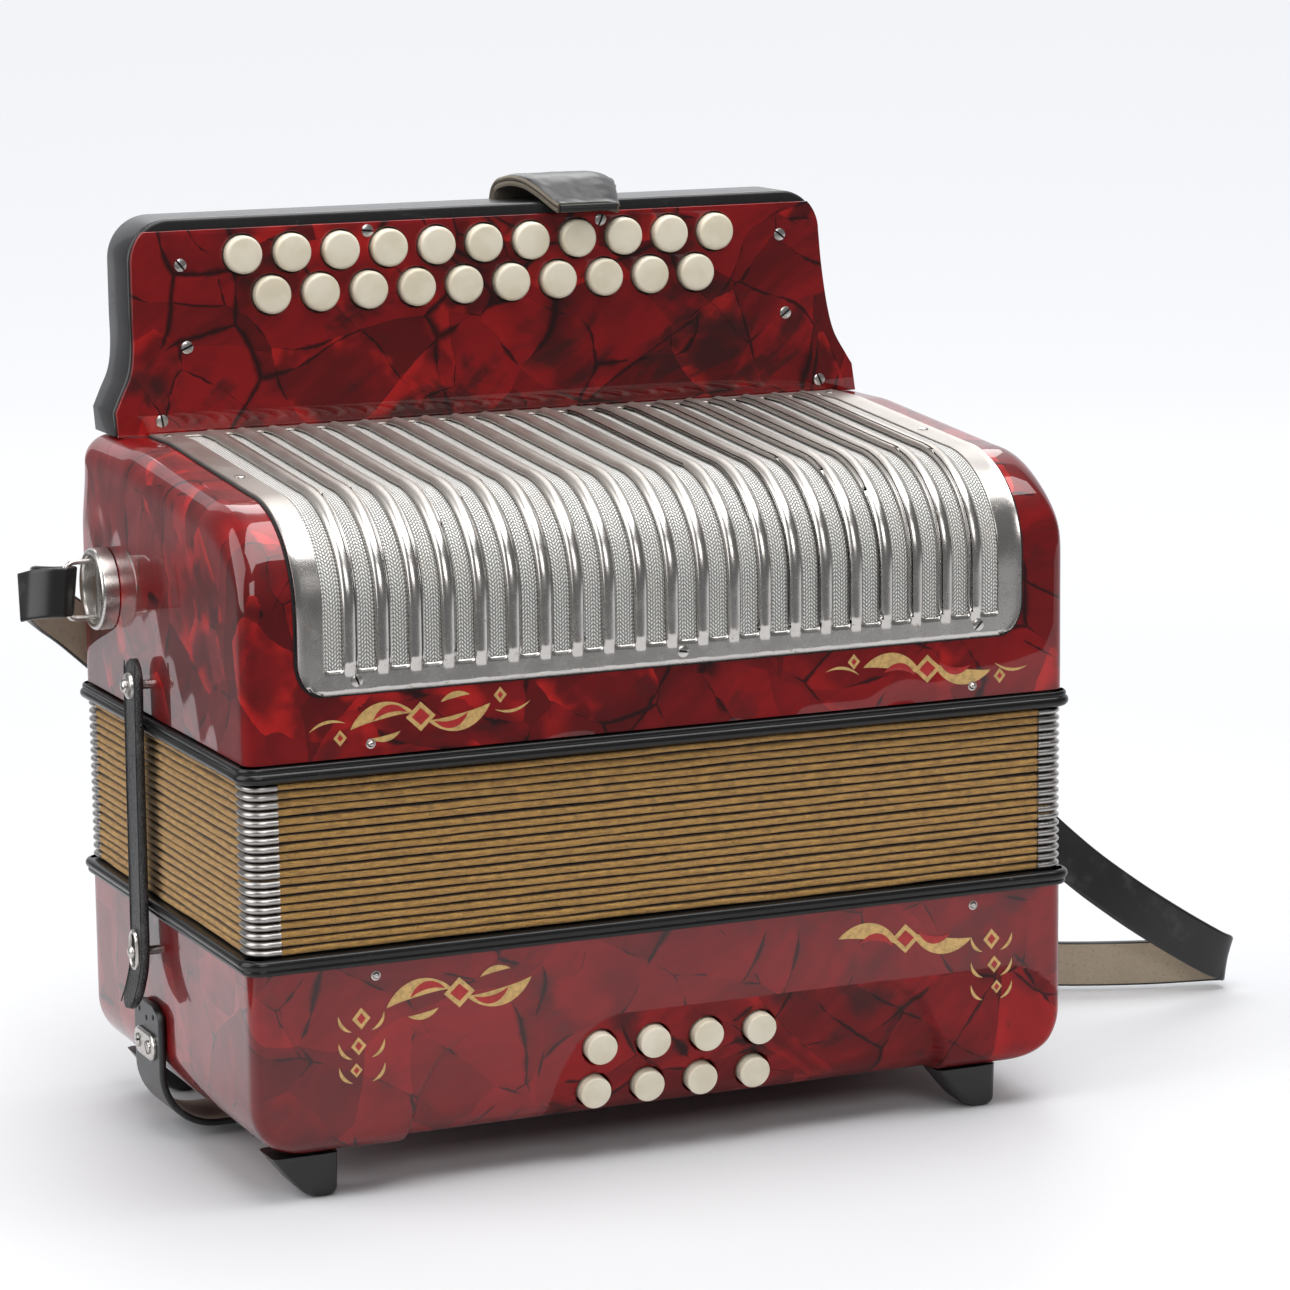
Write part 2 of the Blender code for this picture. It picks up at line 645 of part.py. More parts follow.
# ---- straps and their fittings ----------------------------------------------------------------------
def make_bellows_straps():
    """Leather straps that hold the bellows shut. Each swings on its upper peg and hooks on a lower one."""
    face = HALF_WIDTH + FRAME_PROUD + GAP + 0.0017
    line = [(face, 0.1555), (face, 0.1300), (face, 0.1000), (face, 0.0750), (face, 0.0590)]
    line += [(face + 0.0012, 0.0520), (face + 0.0042, 0.0435)]
    for name, side in (("bellows_strap_left", -1), ("bellows_strap_right", 1)):
        stations = [(side * x, STRAP_SIDE, z, 0, 1, 0) for x, z in line]
        peg = (side * face, STRAP_SIDE, STRAP_PEG)
        ribbon(name, stations, 0.014, 0.0030, BLACK_LEATHER, 13, peg)


def make_hand_strap():
    """The strap for the player's left hand: down one side, slack under the box, and up the other side."""
    side, low, turn = HALF_WIDTH + GAP + 0.0013, 0.0042, 0.018
    quarter = arc((turn - side, low + turn), turn, 180, 270, 5)
    left = [(-side, 0.0430), (-side, 0.0350), (-side, 0.0280)] + quarter + [(-0.08, low), (0, low)]
    line = left + [(-x, z) for x, z in left[-2::-1]]
    stations = [(x, HAND_STRAP_SIDE, z, 0, 1, 0) for x, z in line]
    ribbon("hand_strap", stations, 0.027, 0.0024, BLACK_LEATHER, 2 * len(line) - 1)


def make_hand_strap_plates():
    """Oval plates that clamp the hand strap's ends to the case's sides."""
    for name, side in (("hand_strap_plate_left", -1), ("hand_strap_plate_right", 1)):
        outline = arc((HAND_STRAP_SIDE + 0.0055, 0.0300), 0.0045, -90, 90, 5)
        outline += arc((HAND_STRAP_SIDE - 0.0055, 0.0300), 0.0045, 90, 270, 5)
        mesh = outline_mesh(name, [outline], 0.0006, FACING_SIDE)
        mesh.transform(Matrix.Translation((side * (HALF_WIDTH + 2 * GAP + 0.0026 + 0.0006), 0, 0)))
        add_part(name, mesh, NICKEL)


def make_strap_brackets():
    """Round cups on the treble end's sides, each holding the pivots of a wire ring."""
    profile = [(0, 0.0012), (0.0108, 0.0012), (0.0110, 0.0046), (0.0122, 0.0056), (0.0134, 0.0046), (0.0134, 0), (0, 0)]
    for name, side in (("strap_bracket_left", -1), ("strap_bracket_right", 1)):
        spot = (side * (HALF_WIDTH + GAP), BRACKET_SIDE, BRACKET_HEIGHT)
        turned(name, profile, 24, NICKEL, spot, (side, 0, 0))


RING_PIVOT = 0.0031  # how far the ring's pivot bar stands from the side of the case
RING_WIRE = 0.0009


def make_ring(name, side, out, across):
    """A wire loop: a pivot bar in the bracket, two arms along out, and the bar that the strap goes round."""
    half, reach, corner = 0.0093, 0.0105, 0.002
    points = [(0, -half), (0, half)] + arc((reach - corner, half - corner), corner, 90, 0, 2)
    points += arc((reach - corner, corner - half), corner, 0, -90, 2)
    out, across = Vector(out).normalized(), Vector(across)
    curve = bpy.data.curves.new(name, "CURVE")
    curve.dimensions = "3D"
    curve.bevel_depth = RING_WIRE
    curve.bevel_resolution = 2
    spline = curve.splines.new("POLY")
    spline.points.add(len(points) - 1)
    for point, (u, v) in zip(spline.points, points):
        point.co = (*(out * u + across * v), 1)
    spline.use_cyclic_u = True
    part = bpy.data.objects.new(name, curve)
    curve.materials.append(material(name + "_finish", NICKEL))
    part.location = (side * (HALF_WIDTH + GAP + RING_PIVOT), BRACKET_SIDE, BRACKET_HEIGHT)
    part.parent = ROOT
    PARTS.objects.link(part)


def make_strap_rings():
    make_ring("strap_ring_left", -1, (-1, 0, 0), (0, 0, 1))
    make_ring("strap_ring_right", 1, (0.5, 0, -0.866), (0, 1, 0))


SHOULDER_STATIONS = [
    (-0.1565, 0.0520, 0.1740, 0.00, 0.00, 1.00),
    (-0.1615, 0.0540, 0.1738, 0.00, 0.00, 1.00),
    (-0.1665, 0.0585, 0.1730, 0.20, 0.10, 1.00),
    (-0.1690, 0.0660, 0.1710, 0.32, 0.10, 1.00),
    (-0.1670, 0.0750, 0.1680, 0.45, 0.05, 0.95),
    (-0.1600, 0.0840, 0.1620, 0.55, 0.05, 0.85),
    (-0.1460, 0.0910, 0.1510, 0.65, 0.00, 0.80),
    (-0.1180, 0.0940, 0.1280, 0.65, 0.00, 0.80),
    (-0.0820, 0.0950, 0.0950, 0.65, 0.00, 0.80),
    (-0.0450, 0.0970, 0.0620, 0.62, 0.00, 0.82),
    (-0.0080, 0.0990, 0.0350, 0.48, 0.00, 0.90),
    (0.0320, 0.1000, 0.0170, 0.25, 0.00, 0.97),
    (0.0780, 0.1000, 0.0106, 0.06, 0.00, 1.00),
    (0.1200, 0.0970, 0.0098, 0.00, 0.00, 1.00),
    (0.1560, 0.0840, 0.0097, 0.00, 0.00, 1.00),
    (0.1840, 0.0640, 0.0097, 0.00, 0.00, 1.00),
    (0.2120, 0.0460, 0.0097, 0.00, 0.00, 1.00),
    (0.2380, 0.0350, 0.0097, 0.00, 0.00, 1.00),
    (0.2570, 0.0300, 0.0098, 0.06, 0.00, 1.00),
    (0.2650, 0.0270, 0.0102, 0.16, 0.00, 1.00),
    (0.2655, 0.0230, 0.0112, 0.24, 0.00, 1.00),
    (0.2580, 0.0210, 0.0150, 0.34, 0.00, 0.94),
    (0.2420, 0.0225, 0.0250, 0.46, 0.00, 0.88),
    (0.2250, 0.0260, 0.0370, 0.50, 0.05, 0.86),
    (0.2080, 0.0310, 0.0510, 0.55, 0.12, 0.82),
    (0.1910, 0.0370, 0.0690, 0.62, 0.30, 0.70),
    (0.1760, 0.0430, 0.0910, 0.62, 0.62, 0.45),
    (0.1650, 0.0480, 0.1150, 0.42, 0.88, 0.20),
    (0.1570, 0.0510, 0.1400, 0.16, 0.98, 0.05),
    (0.1522, 0.0520, 0.1560, 0.00, 1.00, 0.00),
    (0.1507, 0.0520, 0.1620, 0.00, 1.00, 0.00),
]


def make_shoulder_strap():
    """From the left ring, folded back behind the box, down to the floor, out to the right and up again."""
    ribbon("shoulder_strap", SHOULDER_STATIONS, SHOULDER_WIDTH, SHOULDER_THICKNESS, BLACK_LEATHER, 76)


# ---- the whole object -------------------------------------------------------------------------------
def make_inside():
    windows = [(0.036 * i, y, 0.022, 0.008) for i in range(-2, 3) for y in (-0.028, 0.028)]
    make_soundboard("treble_soundboard", 0.1470, 0.0040, -HALF_DEPTH + WALL + GAP, windows)
    windows = [(0.030 * i, 0, 0.018, 0.008) for i in range(-1, 2)]
    make_soundboard("bass_soundboard", 0.0640, 0.0040, -HALF_DEPTH + BASS_FRONT + GAP, windows)
    make_reed_block("treble_reed_block_front", 0.098, -0.028, 0.011, 0.1020, 0.1467, 11, True)
    make_reed_block("treble_reed_block_rear", 0.098, 0.028, 0.011, 0.1020, 0.1467, 10, True)
    make_reed_block("bass_reed_block", 0.055, 0, 0.010, 0.0683, 0.0960, 4, False)


def centre_on_origin():
    """Move everything so that the middle of the whole footprint is at the world origin."""
    bpy.context.view_layer.update()
    graph = bpy.context.evaluated_depsgraph_get()
    points = []
    for part in PARTS.objects:
        if part.type == "EMPTY":
            continue
        seen = part.evaluated_get(graph)
        points += [seen.matrix_world @ vert.co for vert in seen.to_mesh().vertices]
        seen.to_mesh_clear()
    corners = np.array(points)
    middle = (corners.min(0) + corners.max(0)) / 2
    ROOT.location = (round(-middle[0], 4), round(-middle[1], 4), 0)


make_bass_case()
make_feet()
make_bass_buttons()
make_air_button()
make_inside()
make_frame("bass_bellows_frame", LOWER_FRAME)
make_bellows()
make_frame("treble_bellows_frame", UPPER_FRAME)
make_treble_case()
make_grille()
make_grille_cloth()
make_fingerboard()
make_fingerboard_plate()
make_treble_buttons()
make_lever_rail()
make_thumb_strap()
make_bellows_straps()
make_hand_strap()
make_hand_strap_plates()
make_strap_brackets()
make_strap_rings()
make_shoulder_strap()
centre_on_origin()
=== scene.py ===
"""The looks of a two-row button accordion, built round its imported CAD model.

Shapes are worked out in millimetres in the box's own frame: x and y are zero at the middle of the bass
end, z is zero on the floor, -y is the side with the grille and the buttons. make() places them.
"""
import math

import bmesh
import bpy
import numpy as np
from mathutils import Matrix, Vector


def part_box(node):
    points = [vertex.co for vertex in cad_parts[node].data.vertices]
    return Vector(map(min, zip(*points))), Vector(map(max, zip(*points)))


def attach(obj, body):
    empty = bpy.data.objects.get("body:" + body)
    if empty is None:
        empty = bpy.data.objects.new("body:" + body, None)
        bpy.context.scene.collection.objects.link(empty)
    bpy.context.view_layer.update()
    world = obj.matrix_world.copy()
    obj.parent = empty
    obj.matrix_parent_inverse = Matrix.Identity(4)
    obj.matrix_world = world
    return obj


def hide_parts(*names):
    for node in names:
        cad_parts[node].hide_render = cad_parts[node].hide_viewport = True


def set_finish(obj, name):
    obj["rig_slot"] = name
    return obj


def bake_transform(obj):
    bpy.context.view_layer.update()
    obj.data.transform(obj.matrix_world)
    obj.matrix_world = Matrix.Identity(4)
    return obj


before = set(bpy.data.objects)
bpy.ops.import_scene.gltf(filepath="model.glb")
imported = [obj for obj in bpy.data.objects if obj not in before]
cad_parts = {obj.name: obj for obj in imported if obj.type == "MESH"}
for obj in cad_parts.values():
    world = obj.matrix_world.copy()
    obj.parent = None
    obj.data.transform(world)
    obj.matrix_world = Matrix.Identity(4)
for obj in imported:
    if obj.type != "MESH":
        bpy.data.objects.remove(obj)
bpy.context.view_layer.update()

case_low, case_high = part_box("bass_case")
ORIGIN = np.array([(case_low.x + case_high.x) / 2, (case_low.y + case_high.y) / 2, 0.0])
MM = 0.001

# ---- measures, in millimetres ------------------------------------------------------------------------
HALF_X, HALF_Y = 140.5, 82.0
BASS_BOTTOM, BASS_TOP = 14.5, 73.5
TREBLE_BOTTOM, TREBLE_TOP = 138.8, 222.0
FRAME_LOW, FRAME_HIGH, FRAME_TALL = 73.8, 133.2, 5.0
BELLOWS_LOW, BELLOWS_HIGH, FOLDS = 79.1, 132.9, 20
PITCH = (BELLOWS_HIGH - BELLOWS_LOW) / FOLDS
TILT = math.radians(9.5)
RECESS_TOP = 51.5
BASS_FACING = (0, -math.cos(TILT), -math.sin(TILT))  # the way that the bass buttons face
BOARD_FRONT, BOARD_FOOT, BOARD_TOP = 56.6, 222.4, 292.5
PEG_HEIGHT = 148.4  # of the upper pegs that the bellows straps swing on
RING_Y, RING_HEIGHT = 52.0, 174.0  # of the strap brackets
HAND_Y = 16.5  # of the hand strap
AIR_BUTTON = (40, HALF_Y, 33)
ROOM_GLOW = 0.16  # how bright the dark side of the room is
BASS_SPOTS = [(-25 + 18.5 * i, 37.8) for i in range(4)] + [(-26.3 + 18.5 * i, 23.1) for i in range(4)]
TREBLE_SPOTS = [(-90 + 17 * i, 279.9) for i in range(11)] + [(-80.3 + 17 * i, 266.3) for i in range(10)]

# ---- the camera --------------------------------------------------------------------------------------
YAW, PITCH_DOWN, ROLL = math.radians(24.11), math.radians(10.07), math.radians(-0.60)
CAMERA_SPOT = (-575.73, -1363.56, 416.30)
LENS, SHIFT_X, SHIFT_Y = 127.613, -0.0150155, -0.004938  # on a sensor 36 mm wide; shifts are shares of it


def make_camera():
    """A long lens from the front left, a little above the box. The axes turn by yaw, pitch and roll."""
    level_share = math.cos(PITCH_DOWN)
    ahead = Vector((math.sin(YAW) * level_share, math.cos(YAW) * level_share, -math.sin(PITCH_DOWN)))
    level = Vector((math.cos(YAW), -math.sin(YAW), 0))
    over = level.cross(ahead)
    right = level * math.cos(ROLL) + over * math.sin(ROLL)
    up = over * math.cos(ROLL) - level * math.sin(ROLL)
    data = bpy.data.cameras.new("camera")
    data.lens = LENS
    data.shift_x, data.shift_y = SHIFT_X, SHIFT_Y
    data.clip_start, data.clip_end = 0.1, 30
    camera = bpy.data.objects.new("camera", data)
    place = Vector(CAMERA_SPOT) * MM + Vector(ORIGIN)
    turn = Matrix((right, up, -ahead)).transposed()
    camera.matrix_world = Matrix.Translation(place) @ turn.to_4x4()
    bpy.context.scene.collection.objects.link(camera)
    bpy.context.scene.camera = camera


make_camera()


# ---- finishes: one number of a shader as a Python value, and a sheet of nodes ------------------------
class Num:
    """One number in a finish, so that maths on it is written as plain expressions."""

    def __init__(self, finish, socket):
        self.finish, self.socket = finish, socket

    def math(self, operation, *others):
        return self.finish.node("ShaderNodeMath", {"operation": operation}, dict(enumerate((self, *others))))

    def __add__(self, other):
        return self.math("ADD", other)

    __radd__ = __add__

    def __mul__(self, other):
        return self.math("MULTIPLY", other)

    __rmul__ = __mul__

    def __sub__(self, other):
        return self.math("SUBTRACT", other)

    def __rsub__(self, other):
        return self * -1 + other

    def __truediv__(self, other):
        return self.math("DIVIDE", other)

    def size(self):
        return self.math("ABSOLUTE")

    def part(self):
        return self.math("FRACT")

    def most(self, other):
        return self.math("MAXIMUM", other)

    def ramp(self, low, high, bottom=0.0, top=1.0):
        """Rises smoothly from bottom to top as the value goes from low to high."""
        settings = {"interpolation_type": "SMOOTHSTEP"}
        inputs = {0: self, 1: low, 2: high, 3: bottom, 4: top}
        return self.finish.node("ShaderNodeMapRange", settings, inputs)


class Finish:
    """A material under construction. Positions are in millimetres in the box's own frame."""

    def __init__(self, name, roughness=0.5, metallic=0.0, coat=0.0, coat_roughness=0.03, **constants):
        self.material = bpy.data.materials.new(name)
        self.material.use_nodes = True
        self.tree = self.material.node_tree
        self.shader = self.tree.nodes["Principled BSDF"]
        self.set("Roughness", roughness)
        self.set("Metallic", metallic)
        self.set("Coat Weight", coat)
        self.set("Coat Roughness", coat_roughness)
        for name, value in constants.items():
            self.set(name.replace("_", " "), value)

    def put(self, socket, value):
        if isinstance(value, Num):
            self.tree.links.new(value.socket, socket)
        elif isinstance(value, bpy.types.NodeSocket):
            self.tree.links.new(value, socket)
        elif isinstance(value, tuple) and len(value) == 3 and socket.type == "RGBA":
            socket.default_value = (*value, 1.0)
        else:
            socket.default_value = value

    def set(self, name, value):
        self.put(self.shader.inputs[name], value)

    def node(self, kind, settings=None, inputs=None, output=0):
        """A node of that kind: its settings first, then its sockets' values or links."""
        made = self.tree.nodes.new(kind)
        for name, value in (settings or {}).items():
            setattr(made, name, value)
        for name, value in (inputs or {}).items():
            self.put(made.inputs[name], value)
        out = made.outputs[output]
        return Num(self, out) if out.type == "VALUE" else out

    def place(self):
        """The point in millimetres in the box's own frame."""
        where = self.node("ShaderNodeTexCoord", output="Object")
        moved = self.vector("SUBTRACT", where, tuple(ORIGIN))
        return self.vector("SCALE", moved, scale=1 / MM)

    def weave(self):
        """The piece's own flat coordinates, in millimetres."""
        return self.node("ShaderNodeUVMap", {"uv_map": "flat"})

    def vector(self, operation, a, b=(0, 0, 0), scale=1.0, output=0):
        inputs = {0: a, 1: b, "Scale": scale} if operation == "SCALE" else {0: a, 1: b}
        return self.node("ShaderNodeVectorMath", {"operation": operation}, inputs, output)

    def parts(self, vector):
        split = self.node("ShaderNodeSeparateXYZ", None, {0: vector}).socket.node
        return [Num(self, out) for out in split.outputs]

    def joined(self, x, y, z):
        return self.node("ShaderNodeCombineXYZ", None, {0: x, 1: y, 2: z})

    def noise(self, vector, size, detail=3.0, roughness=0.5, distortion=0.0):
        """Soft noise from 0 to 1, with patches of about that many millimetres."""
        inputs = {"Vector": vector, "Scale": 1 / size, "Detail": detail, "Roughness": roughness}
        return self.node("ShaderNodeTexNoise", None, {**inputs, "Distortion": distortion}, "Fac")

    def cells(self, vector, size, feature="F1", output="Distance"):
        """Random flakes of about that many millimetres."""
        inputs = {"Vector": vector, "Scale": 1 / size}
        return self.node("ShaderNodeTexVoronoi", {"feature": feature}, inputs, output)

    def mix(self, factor, a, b):
        return self.node("ShaderNodeMix", {"data_type": "RGBA"}, {0: factor, 6: a, 7: b}, 2)

    def bump(self, height, distance, strength=1.0):
        """Relief of that many millimetres where height goes from 0 to 1."""
        inputs = {"Height": height, "Distance": distance * MM, "Strength": strength}
        self.set("Normal", self.node("ShaderNodeBump", None, inputs))


def stretched(finish, vector, x, y, z):
    return finish.vector("MULTIPLY", vector, (x, y, z))


def tinted(colour, share):
    return tuple(c * share for c in colour)


def slanted(finish, vector, turn, stretch):
    """The point turned about x, y and z, then stretched along the turned axes."""
    return finish.vector("MULTIPLY", finish.node("ShaderNodeMapping", None, {0: vector, 2: turn}), stretch)


def red_pearl(name, smoke, cracked, glow, contrast, offset, polish=0.9):
    """Celluloid: deep red pearl in two sizes of angular flakes, each shaded across by its own random slope,
    brushed with long soft slanting streaks. Some edges of the flakes are black cracks that swell and taper,
    with a soft shadow; black smoke drifts between, and bright patches lie along a few edges. A clear polish
    covers it. contrast strengthens the flakes, the streaks and the smoke together."""
    f = Finish(name, roughness=0.36, coat=polish, coat_roughness=0.015, Specular_IOR_Level=0.10)
    spot = f.vector("ADD", f.place(), offset)
    soft = f.node("ShaderNodeTexNoise", None, {"Vector": spot, "Scale": 1 / 60, "Detail": 1.0}, "Color")
    bent = f.vector("ADD", spot, f.vector("SCALE", f.vector("SUBTRACT", soft, (0.5, 0.5, 0.5)), scale=34.0))
    fray = f.node("ShaderNodeTexNoise", None, {"Vector": spot, "Scale": 1 / 2.5, "Detail": 2.0}, "Color")
    bent = f.vector("ADD", bent, f.vector("SCALE", f.vector("SUBTRACT", fray, (0.5, 0.5, 0.5)), scale=0.8))
    tone, cracks, shadows, flares = 0.5, 0.0, 0.0, 0.0
    for size, share, turn, stretch, wide in (
        (38.0, 0.80, (0.3, 0.7, 0.2), (0.60, 1.0, 1.05), 0.040),
        (25.0, 0.60, (-0.5, -0.5, 0.5), (0.55, 1.0, 1.2), 0.040),
    ):
        spread = slanted(f, bent, turn, stretch)
        shade = f.cells(spread, size, output="Color")
        place = f.cells(spread, size, output="Position")
        lean = f.vector("SCALE", f.vector("SUBTRACT", spread, place), scale=1 / size)
        slope = f.vector("DOT_PRODUCT", lean, f.vector("SUBTRACT", shade, (0.5, 0.5, 0.5)), output=1)
        level, pick, chance = f.parts(shade)
        tone = ((level - 0.5) * 0.5 + slope * 0.8) * (share * contrast) + tone
        edge = f.cells(spread, size, "DISTANCE_TO_EDGE")
        broken = f.noise(spot, size * 0.6, 2.0, 0.5)
        reach = broken.ramp(0.58 - 0.13 * cracked, 0.72 - 0.08 * cracked, 0.0003, wide)
        cracks = edge.ramp(0.0, reach, 1.0, 0.0).most(cracks)
        shadow = edge.ramp(0.0, 0.22, 1.0, 0.0) * pick.ramp(0.50, 0.80) * broken.ramp(0.46, 0.62)
        shadows = shadow.most(shadows)
        flare = edge.ramp(0.02, 0.22, 1.0, 0.0) * chance.ramp(0.62, 0.85) * broken.ramp(0.54, 0.40)
        flares = flare.most(flares)
    fume = f.noise(slanted(f, bent, (0.2, -0.5, 0.1), (0.75, 1.0, 1.4)), 34.0, 4.0, 0.58, 0.3)
    wisps = f.noise(slanted(f, bent, (0.5, 0.6, 0.1), (0.30, 1.0, 1.5)), 15.0, 4.0, 0.6, 0.3)
    dark = (fume * 0.62 + wisps * 0.38).ramp(0.55 - 0.05 * smoke, 0.66 - 0.06 * smoke)
    streak = f.noise(slanted(f, bent, (-0.5, 0.55, 0.2), (0.22, 1.0, 1.6)), 11.0, 3.0, 0.55)
    tone = tone + (streak - 0.5) * (0.75 * contrast)
    body = f.mix(tone.ramp(0.28, 0.72), (0.110, 0.0045, 0.0052), (0.270, 0.0085, 0.0100))
    body = f.mix(flares * glow, body, (0.62, 0.018, 0.016))
    body = f.mix(dark * (0.15 + 0.73 * contrast), body, (0.020, 0.0050, 0.0050))
    body = f.mix(shadows * (0.14 + 0.30 * cracked), body, (0.034, 0.0045, 0.0050))
    body = f.mix(cracks * 0.92, body, (0.010, 0.0025, 0.0028))
    f.set("Base Color", body)
    f.set("Roughness", tone.ramp(0.3, 0.8, 0.44, 0.32))
    f.set("Metallic", 0.36 - dark * 0.30 - cracks * 0.06)
    wave = f.noise(stretched(f, spot, 1.0, 1.0, 0.10), 1.7, 2.0, 0.5)
    f.bump(wave, 0.012, 0.35)
    return f.material


def black_lacquer(name, grain):
    """Black lacquered wood with faint fibres, upright in the board and lengthways in the mouldings, soft
    scuffs and small chips. The mouldings have more polish, and are darker and smoother than the board."""
    if grain:
        coat, specular, pale, relief, squeeze = 0.2, 0.45, (0.030, 0.030, 0.031), 0.05, (1.0, 1.0, 0.05)
    else:
        coat, specular, pale, relief, squeeze = 0.35, 0.2, (0.011, 0.011, 0.011), 0.02, (0.05, 1.0, 1.0)
    f = Finish(name, coat=coat, coat_roughness=0.06, Specular_IOR_Level=specular)
    spot = f.place()
    fibres = f.noise(stretched(f, spot, *squeeze), 0.9, 4.0, 0.6)
    scuffs = f.noise(stretched(f, spot, 0.25, 1, 1), 3.0, 5.0, 0.7).ramp(0.60, 0.74)
    chips = f.noise(spot, 1.6, 3.0, 0.6).ramp(0.70, 0.76)
    colour = f.mix(fibres * 0.5, (0.0035, 0.0035, 0.004), pale)
    colour = f.mix(scuffs * 0.30, colour, (0.060, 0.056, 0.052))
    colour = f.mix(chips * 0.5, colour, (0.17, 0.15, 0.13))
    f.set("Base Color", colour)
    f.set("Roughness", 0.30 + fibres * 0.12 + scuffs * 0.25)
    f.bump(fibres * 0.5 + scuffs * 0.5, relief, 0.6)
    return f.material


def bare_wood(name):
    f = Finish(name)
    spot = f.place()
    rings = f.noise(stretched(f, spot, 0.08, 1, 1), 5.0, 5.0, 0.6, 0.6)
    pores = f.noise(stretched(f, spot, 0.06, 1, 1), 0.5, 2.0).ramp(0.6, 0.75)
    wood = f.mix(rings, (0.36, 0.22, 0.11), (0.56, 0.39, 0.22))
    f.set("Base Color", f.mix(pores * 0.5, wood, (0.16, 0.09, 0.04)))
    f.set("Roughness", 0.55 + rings * 0.15)
    f.bump(1 - pores, 0.08)
    return f.material


def cream_plastic(name):
    f = Finish(name, coat=0.25, coat_roughness=0.15)
    spot = f.place()
    tint = f.noise(spot, 11.0, 3.0)
    specks = f.noise(spot, 0.5, 2.0).ramp(0.70, 0.78)
    colour = f.mix(tint.ramp(0.35, 0.7), (0.80, 0.735, 0.60), (0.70, 0.63, 0.48))
    f.set("Base Color", f.mix(specks * 0.25, colour, (0.40, 0.32, 0.20)))
    f.set("Roughness", 0.32 + tint * 0.15)
    return f.material


def nickel(name, tarnish=0.4, roughness=0.20, dull=0.0, shade=1.0):
    """Nickel plate: fine brushed scratches, cloudy dull areas and brown spots of tarnish. dull darkens and
    roughens the grille from its bend upwards."""
    f = Finish(name, metallic=1.0)
    spot = f.place()
    cloud = f.noise(spot, 14.0, 4.0, 0.6)
    lines = f.noise(stretched(f, spot, 0.15, 1, 1), 0.35, 3.0, 0.6)
    spots = f.noise(spot, 2.2, 5.0, 0.7).ramp(0.60, 0.72)
    top = f.parts(spot)[2].ramp(206.0, 217.0) * dull
    colour = f.mix(cloud, tinted((0.64, 0.61, 0.58), shade), tinted((0.50, 0.48, 0.46), shade))
    colour = f.mix(spots * tarnish, colour, (0.22, 0.15, 0.08))
    colour = f.mix(top * 0.75, colour, (0.36, 0.33, 0.30))
    f.set("Base Color", colour)
    f.set("Roughness", roughness + cloud.ramp(0.4, 0.8) * 0.10 + lines * 0.06 + spots * 0.2 + top * 0.22)
    f.bump(lines, 0.004, 0.6)
    return f.material


def grille_cloth(name):
    """Twill of flat silver-white threads whose slant turns back every few rows, so that it makes chevrons."""
    f = Finish(name, roughness=0.5)
    u, v, _ = f.parts(f.weave())
    zigzag = ((v / 4.4).part() - 0.5).size() * 4.4
    thread = (((u + zigzag) / 1.25).part() - 0.5).size().ramp(0.16, 0.44, 1.0, 0.0)
    row = ((v / 0.88).part() - 0.5).size().ramp(0.22, 0.48, 1.0, 0.0)
    lift = thread * row
    dirt = f.noise(f.place(), 9.0, 4.0).ramp(0.45, 0.75)
    colour = f.mix(lift.ramp(0.0, 0.8), (0.20, 0.195, 0.185), (1.0, 0.99, 0.96))
    f.set("Base Color", f.mix(dirt * 0.22, colour, (0.52, 0.45, 0.36)))
    f.set("Roughness", 0.62 - lift * 0.27)
    f.set("Metallic", lift * 0.25)
    f.bump(lift, 0.25)
    return f.material


def bellows_cloth(name):
    """Gold-brown ribbed cloth glued over card: cross threads along the fold, rubbed pale on the crest, and
    near black with painted shade in the crease."""
    f = Finish(name, Sheen_Weight=0.25, Sheen_Roughness=0.5)
    u, v, _ = f.parts(f.weave())
    along = f.joined(u, v * 3.0, 0.0)
    slub = f.noise(stretched(f, along, 0.16, 1.0, 1.0), 0.8, 4.0, 0.65)
    rib = ((u / 0.55).part() - 0.5).size().ramp(0.12, 0.46, 1.0, 0.0)
    knots = f.noise(along, 2.8, 4.0, 0.7)
    fray = f.noise(along, 0.7, 2.0, 0.6).ramp(0.5, 0.75)
    crest = ((v - 0.5).size() + (knots - 0.5) * 0.12).ramp(0.30, 0.43, 1.0, 0.0)
    colour = f.mix(slub.ramp(0.3, 0.7), (0.22, 0.102, 0.018), (0.50, 0.272, 0.062))
    colour = f.mix(knots.ramp(0.50, 0.72) * 0.55, colour, (0.085, 0.043, 0.013))
    colour = f.mix(rib * 0.25, colour, (0.52, 0.31, 0.09))
    # Painted shade: the crease between the folds is darkened almost to black.
    colour = f.mix((1 - crest) * 0.92, colour, (0.018, 0.009, 0.004))
    colour = f.mix(fray * crest * 0.25, colour, (0.64, 0.44, 0.17))
    f.set("Base Color", colour)
    f.set("Roughness", 0.72 + slub * 0.2)
    f.bump(rib * 0.4 + slub * 0.9 + knots * 0.4, 0.28)
    return f.material


